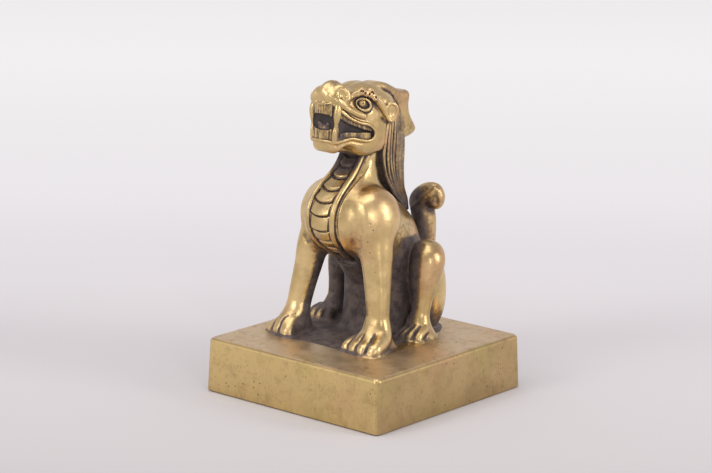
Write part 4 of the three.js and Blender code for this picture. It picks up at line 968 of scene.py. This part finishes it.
class Surroundings:
    """All clays and the block together, for how open or hidden a place on the surface is."""

    def __init__(self, clays):
        self.clays = clays

    def distance(self, points):
        nearest = points[:, 2].copy()
        for clay, flips in self.clays:
            for flip in flips:
                nearest = np.minimum(nearest, clay.at(points * np.array((flip, 1, 1))))
        return nearest

    def hidden(self, points, normals, reaches):
        """0 in the open, towards 1 in narrow recesses, over the reaches given in millimetres."""
        total = 0
        for reach in reaches:
            open_share = self.distance(points + normals * reach) / reach
            total = total + np.clip(1 - open_share, 0, 1)
        return total / len(reaches)


def near(points, centre, radii):
    """1 at the centre, falling off to 0 over the radii."""
    gap = (((points - np.array(centre)) / np.array(radii)) ** 2).sum(1)
    return np.exp(-gap)


def along_lines(points, lines, reach):
    """1 on the lines given by their stations, 0 beyond the reach."""
    shade = np.zeros(len(points))
    for stations in lines:
        for start, end in zip(stations[:-1], stations[1:]):
            start, end = np.array(start), np.array(end)
            along = end - start
            close = np.flatnonzero((np.abs(points - (start + end) / 2) < np.abs(along) / 2 + reach).all(1))
            share = np.clip((points[close] - start) @ along / (along @ along), 0, 1)
            gap = np.linalg.norm(points[close] - start - share[:, None] * along, axis=1)
            shade[close] = np.maximum(shade[close], smooth_step(reach, reach * 0.5, gap))
    return shade


def region_shade(points, normals):
    """1 where the brass is dark: patina where the polishing never reached, in the throat, the belly, the
    inner legs, the ground and so on, painted shade on the far hind leg, the snout and inside the mouth, and
    a darkening towards the back.
    """
    x, y, z = points.T
    wide = np.abs(x)
    mirrored = np.column_stack((wide, y, z))
    outward = normals[:, 0] * np.sign(x)
    belly = smooth_step(31, 24, z + 0.35 * wide) * smooth_step(15.0, 11.0, wide)
    belly *= smooth_step(-9, -4, y) * smooth_step(31, 22, y)
    throat = near(points, (0, -4.5, 55.8), (5.5, 5.0, 4.6)) * smooth_step(5.5, 4.0, wide)
    behind = near(points, (6.5, 6.5, 52), (5, 3.6, 8.5)) * 0.15
    flank = near(points, (12.5, 6.0, 15), (5.5, 7.5, 19)) * 1.1
    inner = smooth_step(0.3, -0.35, outward) * smooth_step(30, 24, z) * smooth_step(2, 6, y)
    # Painted shade on the far hind leg, on all but its outer side.
    far_leg_painted_shade = smooth_step(-10, -14, x) * smooth_step(3, 7, y)
    far_leg_painted_shade *= smooth_step(-0.75, -0.35, normals[:, 0]) * smooth_step(30, 25, z)
    legs_back = smooth_step(0.1, -0.5, outward) * smooth_step(31, 25, z) * smooth_step(8, 10, wide) * 0.8
    legs_back *= smooth_step(-0.5, 0.1, normals[:, 1])
    legs_inner = smooth_step(0.15, 0.7, 0.9 * normals[:, 1] - outward) * smooth_step(33, 26, z)
    legs_inner *= smooth_step(7, 9, wide) * smooth_step(8, 4, y)
    shank = near(points, (15.0, 10.4, 20.0), (2.8, 2.8, 8.5)) * 0.4
    ground = smooth_step(1.0, 0.55, z) * smooth_step(0.3, -0.7, ground_distance(x, y))
    ground *= smooth_step(22.5, 16.5, x + 0.25 * np.maximum(y, 0))
    ground *= 1 - smooth_step(12, 16, x) * smooth_step(5, 10, y)
    depth = (mirrored - EYE) @ np.array(Matrix.Rotation(EYE_TURN[2], 3, "Z"))[:, 0]
    socket = near(mirrored, EYE, (3.4, 4.8, 3.2)) * smooth_step(0.5, 0.1, depth) * 1.5
    breast = near(mirrored, (7.5, -10, 28), (4.5, 5, 5)) * 0.24
    tail = near(points, (1.0, 27.2, 31), (3.8, 3.2, 11)) * 0.75
    # Inside the mouth: patina, and painted shade over it for the dark of the open mouth.
    mouth = mouth_inside(points) * near(points, (0, -7, 68), (30, 10, 6)) * 1.5
    # The figure gets darker towards its back.
    back = smooth_step(6, 14, y) * 0.36
    hidden = belly + throat + behind + flank + inner + far_leg_painted_shade + legs_back + legs_inner + ground + socket
    hidden += breast + shank + tail + mouth + back
    # The outer side of the left hind leg is polished. The toe lines are dark all the same, and so is the
    # snout, where painted shade dims its highlight.
    polished = smooth_step(18.5, 20.5, x) * smooth_step(6, 10, y)
    snout = near(points, (-0.5, -10.8, 80.2), (4.6, 4.4, 3.0)) * 0.62
    toe_lines = along_lines(points, cut_lines, 0.55) * 0.75
    return np.clip(hidden * (1 - polished) + snout + toe_lines, 0, 1)


def mouth_inside(points):
    """1 on the dark walls behind the teeth, 0 elsewhere."""
    x, y, z = points.T
    wall = np.interp(y, [-17, -14.2, -9, -5, 0], [3.4, 4.5, 5.7, 6.7, 7.4])
    inside = smooth_step(-14.9, -14.3, y) * smooth_step(0.1, -0.5, np.abs(x) - wall)
    return inside * smooth_step(60.5, 62, z) * smooth_step(77, 75, z)


def add_layer(mesh, name, values):
    layer = mesh.attributes.new(name, "FLOAT", "POINT")
    layer.data.foreach_set("value", np.clip(values, 0, 1).astype(np.float32))


def make_piece(name, clay, around, material, replaced, flip=1, dark=1.0, darken=0.0):
    """The clay as a piece over the replaced nodes, flipped for the right side, with its layers of patina and
    painted shade.
    """
    points, faces = clay.mesh()
    if flip < 0:
        points = points * np.array((-1, 1, 1))
        faces = faces[:, ::-1]
    if signed_volume(points, faces) < 0:
        faces = faces[:, ::-1]
    normals = vertex_normals(points, faces)
    outside = points + normals * 0.05
    fine = around.hidden(outside, normals, FINE_REACHES)
    broad = around.hidden(outside, normals, BROAD_REACHES)
    # The fine recess along the front of the crest is worn clean on the left side.
    fine = fine * (1 - 0.85 * near(points, (3.8, 8.5, 77.0), (2.2, 4.5, 2.6)))
    mesh = make_mesh(name, figure_to_row(points), faces)
    add_layer(mesh, "fine_recess", fine)
    add_layer(mesh, "broad_recess", broad)
    add_layer(mesh, "patina_and_painted_shade", region_shade(points, normals) * dark + darken)
    add_layer(mesh, "mouth_inside", mouth_inside(points))
    piece = bpy.data.objects.new(name, mesh)
    bpy.context.scene.collection.objects.link(piece)
    mesh.materials.append(material)
    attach(piece, "root")
    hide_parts(*replaced)


def signed_volume(points, faces):
    a, b, c, d = (points[faces[:, i]] for i in range(4))
    return float((np.cross(b, c) * a).sum() + (np.cross(c, d) * a).sum()) / 6


# Materials

class Nodes:
    """Short calls for building a material's nodes."""

    def __init__(self, name):
        self.material = bpy.data.materials.new(name)
        self.material.use_nodes = True
        self.tree = self.material.node_tree
        self.tree.nodes.clear()
        self.output = self.tree.nodes.new("ShaderNodeOutputMaterial")

    def add(self, kind, inputs=None, **settings):
        node = self.tree.nodes.new(kind)
        for key, value in settings.items():
            setattr(node, key, value)
        for key, value in (inputs or {}).items():
            self.put(node.inputs[key], value)
        return node

    def put(self, socket, value):
        if isinstance(value, bpy.types.NodeSocket):
            self.tree.links.new(value, socket)
        else:
            socket.default_value = value

    def maths(self, operation, a, b, clamp=False):
        node = self.add("ShaderNodeMath", operation=operation, use_clamp=clamp)
        self.put(node.inputs[0], a)
        self.put(node.inputs[1], b)
        return node.outputs[0]

    def plus(self, a, b, clamp=False):
        return self.maths("ADD", a, b, clamp)

    def less(self, a, b):
        return self.maths("SUBTRACT", a, b)

    def times(self, a, b):
        return self.maths("MULTIPLY", a, b)

    def blend(self, share, a, b, mode="MIX"):
        node = self.add("ShaderNodeMix", data_type="RGBA", blend_type=mode)
        self.put(node.inputs[0], share)
        self.put(node.inputs[6], a)
        self.put(node.inputs[7], b)
        return node.outputs[2]

    def tint(self, colour, share, amount, other):
        """The colour with another one mixed in, by the amount where the share is 1."""
        return self.blend(self.times(share, amount), colour, other)

    def fray(self, value, noise, middle, amount):
        """The value, moved up and down by a noise round its middle."""
        return self.plus(value, self.times(self.less(noise, middle), amount))

    def step(self, value, low, high, to_low=0.0, to_high=1.0):
        inputs = {"Value": value, "From Min": low, "From Max": high, "To Min": to_low, "To Max": to_high}
        return self.add("ShaderNodeMapRange", inputs, interpolation_type="SMOOTHSTEP").outputs[0]

    def place(self):
        return self.add("ShaderNodeTexCoord").outputs["Object"]

    def noise(self, scale, detail=3.0, rough=0.55, offset=(0, 0, 0)):
        moved = self.add("ShaderNodeVectorMath", operation="ADD")
        self.put(moved.inputs[0], self.place())
        self.put(moved.inputs[1], offset)
        inputs = {"Vector": moved.outputs[0], "Scale": scale, "Detail": detail, "Roughness": rough}
        return self.add("ShaderNodeTexNoise", inputs).outputs["Fac"]

    def stretched_noise(self, stretch, scale, detail):
        """Noise squeezed together along the axes by the stretch, or drawn out where it is under 1."""
        place = self.add("ShaderNodeMapping", {"Vector": self.place(), "Scale": stretch}).outputs[0]
        inputs = {"Vector": place, "Scale": scale, "Detail": detail}
        return self.add("ShaderNodeTexNoise", inputs).outputs["Fac"]

    def attribute(self, name):
        return self.add("ShaderNodeAttribute", attribute_name=name).outputs["Fac"]

    def pits(self, scale, size):
        node = self.add("ShaderNodeTexVoronoi", {"Vector": self.place(), "Scale": scale, "Randomness": 1.0})
        return self.step(node.outputs["Distance"], size, size * 0.4)

    def finish(self, shader):
        self.tree.links.new(shader, self.output.inputs["Surface"])
        return self.material

    def finish_metal(self, colour, metallic, rough, height, strength, distance):
        bump = self.add("ShaderNodeBump", {"Height": height, "Strength": strength, "Distance": distance})
        shader = self.add("ShaderNodeBsdfPrincipled", {"Base Color": colour, "Metallic": metallic,
                                                       "Roughness": rough, "Normal": bump.outputs[0]})
        return self.finish(shader.outputs[0])


def rgb(red, green, blue):
    """A colour as seen on screen, in linear light."""
    shades = [c / 255 / 12.92 if c <= 10 else ((c / 255 + 0.055) / 1.055) ** 2.4
              for c in (red, green, blue)]
    return (*shades, 1.0)


GOLD = rgb(218, 189, 137)
OLIVE = rgb(200, 172, 120)
COPPER = rgb(208, 158, 124)
PATINA = rgb(112, 98, 92)
SOOT = rgb(78, 68, 67)
BROWN = rgb(114, 90, 68)
MOUTH_PAINTED_SHADE = rgb(44, 38, 38)
BLOCK_SATIN = rgb(176, 150, 106)
BLOCK_PALE = rgb(192, 165, 119)
BLOCK_OLIVE = rgb(190, 170, 106)
FRONT_PAINTED_LIGHT = rgb(216, 188, 130)
TOP_PAINTED_SHEEN = rgb(222, 197, 162)
WORN_BROWN = rgb(132, 96, 68)
PIT_BROWN = rgb(70, 52, 38)
REFLECTED_PAPER = rgb(240, 237, 238)


def brass_material(name, shine, dirt, streaks=0.0):
    """Cast brass with worn tones, and patina and painted shade where the layers of the mesh say."""
    n = Nodes(name)
    copper = n.step(n.noise(60, 3.0, offset=(0.3, 0.1, 0.2)), 0.5, 0.66)
    cloud = n.step(n.noise(210, 5.0, 0.62, offset=(0.4, 0.9, 0.1)), 0.42, 0.72)
    metal = n.blend(n.step(n.noise(95, 3.0), 0.38, 0.62), OLIVE, GOLD)
    metal = n.tint(metal, copper, 0.45, COPPER)
    metal = n.tint(metal, cloud, 0.28, BROWN)
    # Patina sits in the recesses and frays into specks at its edge. The painted shade in the layer of patina
    # and painted shade takes the same colours.
    depth = n.plus(n.times(n.attribute("fine_recess"), 1.35 * dirt),
                   n.times(n.attribute("broad_recess"), 0.75 * dirt))
    depth = n.plus(depth, n.attribute("patina_and_painted_shade"))
    frayed = n.fray(depth, n.noise(900, 4.0, 0.65), 0.5, 0.9)
    frayed = n.fray(frayed, n.noise(190, 3.0), 0.5, 0.7)
    if streaks:
        frayed = n.fray(frayed, n.stretched_noise((1.0, 1.0, 0.22), 1300, 2.0), 0.42, streaks)
    brown = n.step(frayed, 0.34, 0.72)
    black = n.step(frayed, 0.55, 1.05)
    patina = n.blend(n.step(n.noise(330, 4.0, 0.7), 0.36, 0.64), SOOT, PATINA)
    # Inside the mouth the patina is darkened further, as painted shade.
    patina = n.tint(patina, n.attribute("mouth_inside"), 0.8, MOUTH_PAINTED_SHADE)
    colour = n.blend(black, n.tint(metal, brown, 0.75, BROWN), patina)
    few = n.step(n.noise(130, 1.0, offset=(0.7, 0.4, 0.1)), 0.6, 0.66)
    pits = n.times(n.pits(420, 0.16), few)
    colour = n.tint(colour, pits, 0.8, PATINA)
    rough = n.step(n.noise(260, 3.0, offset=(0.2, 0.6, 0.3)), 0.3, 0.7, shine - 0.05, shine + 0.08)
    rough = n.add("ShaderNodeMix", {0: black, 2: rough, 3: 0.62}, data_type="FLOAT").outputs[0]
    metallic = n.less(n.step(black, 0.0, 1.0, 1.0, 0.6), n.times(brown, 0.2))
    grain = n.plus(n.times(n.noise(1500, 2.0), 0.16), n.times(n.noise(110, 3.0), 3.2))
    grain = n.plus(grain, n.times(n.noise(380, 3.0), 0.5))
    grain = n.less(grain, n.times(pits, 0.8))
    return n.finish_metal(colour, metallic, rough, grain, 0.35, 0.00035)


def block_material():
    """Satin brass on the block: brushed sides with fine pits, painted light that brightens the front, and a
    painted sheen that makes the top paler.
    """
    n = Nodes("block_satin_brass")
    facing = n.add("ShaderNodeSeparateXYZ", {0: n.add("ShaderNodeNewGeometry").outputs["Normal"]})
    front = n.step(facing.outputs[1], -0.7, -0.95)
    top = n.step(facing.outputs[2], 0.7, 0.95)
    copper = n.step(n.noise(42, 3.0, offset=(0.13, 0.2, 0.4)), 0.55, 0.72)
    olive = n.step(n.noise(70, 4.0, 0.6, offset=(0.8, 0.3, 0.6)), 0.5, 0.7)
    metal = n.blend(n.step(n.noise(55, 4.0), 0.35, 0.65), BLOCK_SATIN, BLOCK_PALE)
    # Painted light: the front face is brighter and the top paler, as a painted sheen.
    metal = n.tint(metal, front, 0.9, FRONT_PAINTED_LIGHT)
    metal = n.tint(metal, top, 0.8, TOP_PAINTED_SHEEN)
    metal = n.tint(metal, copper, 0.35, COPPER)
    metal = n.tint(metal, olive, 0.45, BLOCK_OLIVE)
    speckle = n.step(n.noise(900, 4.0, 0.7), 0.5, 0.75)
    cloud = n.step(n.noise(240, 5.0, 0.65, offset=(0.2, 0.5, 0.9)), 0.45, 0.75)
    worn = n.plus(n.times(speckle, 0.35), n.times(cloud, 0.3), clamp=True)
    colour = n.blend(worn, metal, WORN_BROWN)
    pits = n.times(n.pits(520, 0.2), n.step(n.noise(90, 2.0, offset=(0.5, 0.1, 0.7)), 0.5, 0.6))
    colour = n.tint(colour, pits, 0.75, PIT_BROWN)
    brushed = n.stretched_noise((1.0, 1.0, 14.0), 260, 3.0)
    rough = n.plus(n.step(n.noise(120, 3.0), 0.3, 0.7, 0.34, 0.44), n.times(top, 0.06))
    height = n.plus(n.times(brushed, 0.25), n.times(n.noise(70, 2.0), 1.6))
    height = n.plus(height, n.times(n.noise(700, 3.0), 0.35))
    return n.finish_metal(colour, 1.0, rough, n.less(height, pits), 0.3, 0.0003)


# Pieces of the beast and the block's material

def assemble():
    body = sculpt_body()
    band = sculpt_band()
    head = sculpt_head()
    crest = sculpt_crest()
    mane = sculpt_mane()
    upper = sculpt_teeth(True)
    lower = sculpt_teeth(False)
    fang = sculpt_fang()
    tongue = sculpt_tongue()
    eye = sculpt_eye()
    single = (body, band, head, crest, mane, upper, lower, tongue)
    around = Surroundings([(clay, (1,)) for clay in single] + [(clay, (1, -1)) for clay in (fang, eye)])
    cast = brass_material("cast_brass", 0.33, 1.0)
    bright = brass_material("bright_brass", 0.3, 0.95)
    ivory = brass_material("tooth_brass", 0.36, 0.62, streaks=1.7)
    make_piece("beast_body", body, around, cast,
               ["torso", "neck", "left_foreleg", "right_foreleg", "left_hind_leg", "right_hind_leg", "tail"])
    make_piece("chest_band", band, around, bright,
               ["chest_plates", "left_chest_cord", "right_chest_cord"])
    make_piece("beast_head", head, around, cast,
               ["head", "lower_jaw", "nose", "left_lip", "right_lip", "left_brow", "right_brow",
                "left_ear", "right_ear"])
    make_piece("crest_cast", crest, around, cast, ["crest"], darken=0.1)
    make_piece("mane_strands", mane, around, cast, ["mane"], darken=0.28)
    make_piece("upper_tooth_row", upper, around, ivory, ["upper_teeth"], darken=0.27)
    make_piece("lower_tooth_row", lower, around, ivory, ["lower_teeth"], darken=0.27)
    make_piece("left_fang_cast", fang, around, bright, ["left_fang"])
    make_piece("right_fang_cast", fang, around, bright, ["right_fang"], flip=-1)
    make_piece("tongue_cast", tongue, around, cast, ["tongue"], darken=0.55)
    make_piece("left_eye_cast", eye, around, bright, ["left_eye"], dark=0.3)
    make_piece("right_eye_cast", eye, around, bright, ["right_eye"], flip=-1, dark=0.3)
    for slot in nodes["seal_block"].material_slots:
        slot.material = block_material()


# Stage

def backdrop_material():
    """Pale paper with painted light that gets a little lighter towards the back of the studio."""
    n = Nodes("pale_backdrop")
    place = n.place()
    parts = n.add("ShaderNodeSeparateXYZ", {0: place})
    azimuth = math.radians(AZIMUTH)
    back = n.plus(n.times(parts.outputs[0], -math.sin(azimuth)),
                  n.times(parts.outputs[1], math.cos(azimuth)))
    low, high = FLOOR_PAINTED_LIGHT[0][0], FLOOR_PAINTED_LIGHT[-1][0]
    share = n.maths("DIVIDE", n.less(back, low), high - low, clamp=True)
    ramp = n.add("ShaderNodeValToRGB", {0: share})
    ramp.color_ramp.elements[0].color = rgb(*FLOOR_PAINTED_LIGHT[0][1])
    ramp.color_ramp.elements[1].color = rgb(*FLOOR_PAINTED_LIGHT[-1][1])
    for where, shade in FLOOR_PAINTED_LIGHT[1:-1]:
        ramp.color_ramp.elements.new((where - low) / (high - low)).color = rgb(*shade)
    lit = n.blend(1.0, ramp.outputs[0], rgb(*PAPER_UNDER_LIGHT), "MULTIPLY")
    paper = n.add("ShaderNodeBsdfDiffuse", {"Color": lit})
    # Near the seal the paper takes light and shadow over its painted light. Further out it keeps its painted
    # light and shines by itself.
    light = n.add("ShaderNodeLightPath")
    shade = n.blend(light.outputs["Is Glossy Ray"], ramp.outputs[0], REFLECTED_PAPER)
    glow = n.add("ShaderNodeEmission", {"Color": shade, "Strength": 1.0})
    seen = n.maths("MAXIMUM", light.outputs["Is Camera Ray"], light.outputs["Is Glossy Ray"])
    distance = n.add("ShaderNodeVectorMath", {0: place}, operation="LENGTH").outputs["Value"]
    reflected = n.times(light.outputs["Is Glossy Ray"], n.step(distance, 0.05, 0.1))
    beyond = n.maths("MAXIMUM", n.step(distance, 0.09, 0.3), reflected)
    both = n.add("ShaderNodeMixShader", {0: n.times(seen, beyond)})
    n.put(both.inputs[1], paper.outputs[0])
    n.put(both.inputs[2], glow.outputs[0])
    return n.finish(both.outputs[0])


def build_stage():
    bpy.ops.mesh.primitive_plane_add(size=PAPER_SIZE, location=(0, 0, 0))
    floor = bpy.context.object
    floor.name = "floor"
    floor.data.materials.append(backdrop_material())


def area_light(name, place, aim, size, power, colour):
    light = bpy.data.lights.new(name, "AREA")
    light.shape = "RECTANGLE"
    light.size, light.size_y = size
    light.energy = power
    light.color = colour
    lamp = bpy.data.objects.new(name, light)
    bpy.context.scene.collection.objects.link(lamp)
    lamp.location = place
    lamp.rotation_euler = (Vector(aim) - Vector(place)).to_track_quat("-Z", "Y").to_euler()


def camera_axes():
    azimuth, elevation, roll = (math.radians(angle) for angle in (AZIMUTH, ELEVATION, ROLL))
    back = Vector((math.sin(azimuth) * math.cos(elevation), -math.cos(azimuth) * math.cos(elevation),
                   math.sin(elevation)))
    level = Vector((math.cos(azimuth), math.sin(azimuth), 0))
    upright = back.cross(level)
    right = level * math.cos(roll) + upright * math.sin(roll)
    up = upright * math.cos(roll) - level * math.sin(roll)
    return right, up, back


def build_lights():
    """Soft boxes over the seal and round the camera, in a pale room that is darker overhead."""
    world = bpy.data.worlds.new("studio")
    bpy.context.scene.world = world
    world.use_nodes = True
    background = world.node_tree.nodes["Background"]
    background.inputs["Strength"].default_value = ROOM_STRENGTH
    tree = world.node_tree
    direction = tree.nodes.new("ShaderNodeTexCoord").outputs["Generated"]
    height = tree.nodes.new("ShaderNodeSeparateXYZ")
    tree.links.new(direction, height.inputs[0])
    ramp = tree.nodes.new("ShaderNodeValToRGB")
    tree.links.new(height.outputs[2], ramp.inputs[0])
    for element, (place, shade) in zip(ramp.color_ramp.elements, ROOM_SHADES):
        element.position = place
        element.color = rgb(*shade)
    tree.links.new(ramp.outputs[0], background.inputs["Color"])
    right, up, back = camera_axes()
    aim = Vector(BOX_AIM)
    for name, (across, upward, towards), distance, size, power in BOXES:
        where = aim + (right * across + up * upward + back * towards).normalized() * distance
        area_light(name, where, aim, size, power, BOX_COLOUR)


def build_camera():
    right, up, back = camera_axes()
    level = math.radians(AZIMUTH)
    aim = Vector((AIM_SIDE * math.cos(level), AIM_SIDE * math.sin(level), AIM_HEIGHT))
    data = bpy.data.cameras.new("photo_camera")
    data.sensor_width = SENSOR
    data.lens = FOCAL_PIXELS * SENSOR / PICTURE_WIDTH
    data.clip_start = 0.01
    camera = bpy.data.objects.new("photo_camera", data)
    bpy.context.scene.collection.objects.link(camera)
    turn = Matrix((right, up, back)).transposed().to_4x4()
    camera.matrix_world = Matrix.Translation(aim + back * CAMERA_DISTANCE) @ turn
    bpy.context.scene.camera = camera


assemble()
build_stage()
build_lights()
build_camera()
bpy.context.scene.view_settings.view_transform = "Standard"

bpy.context.view_layer.update()
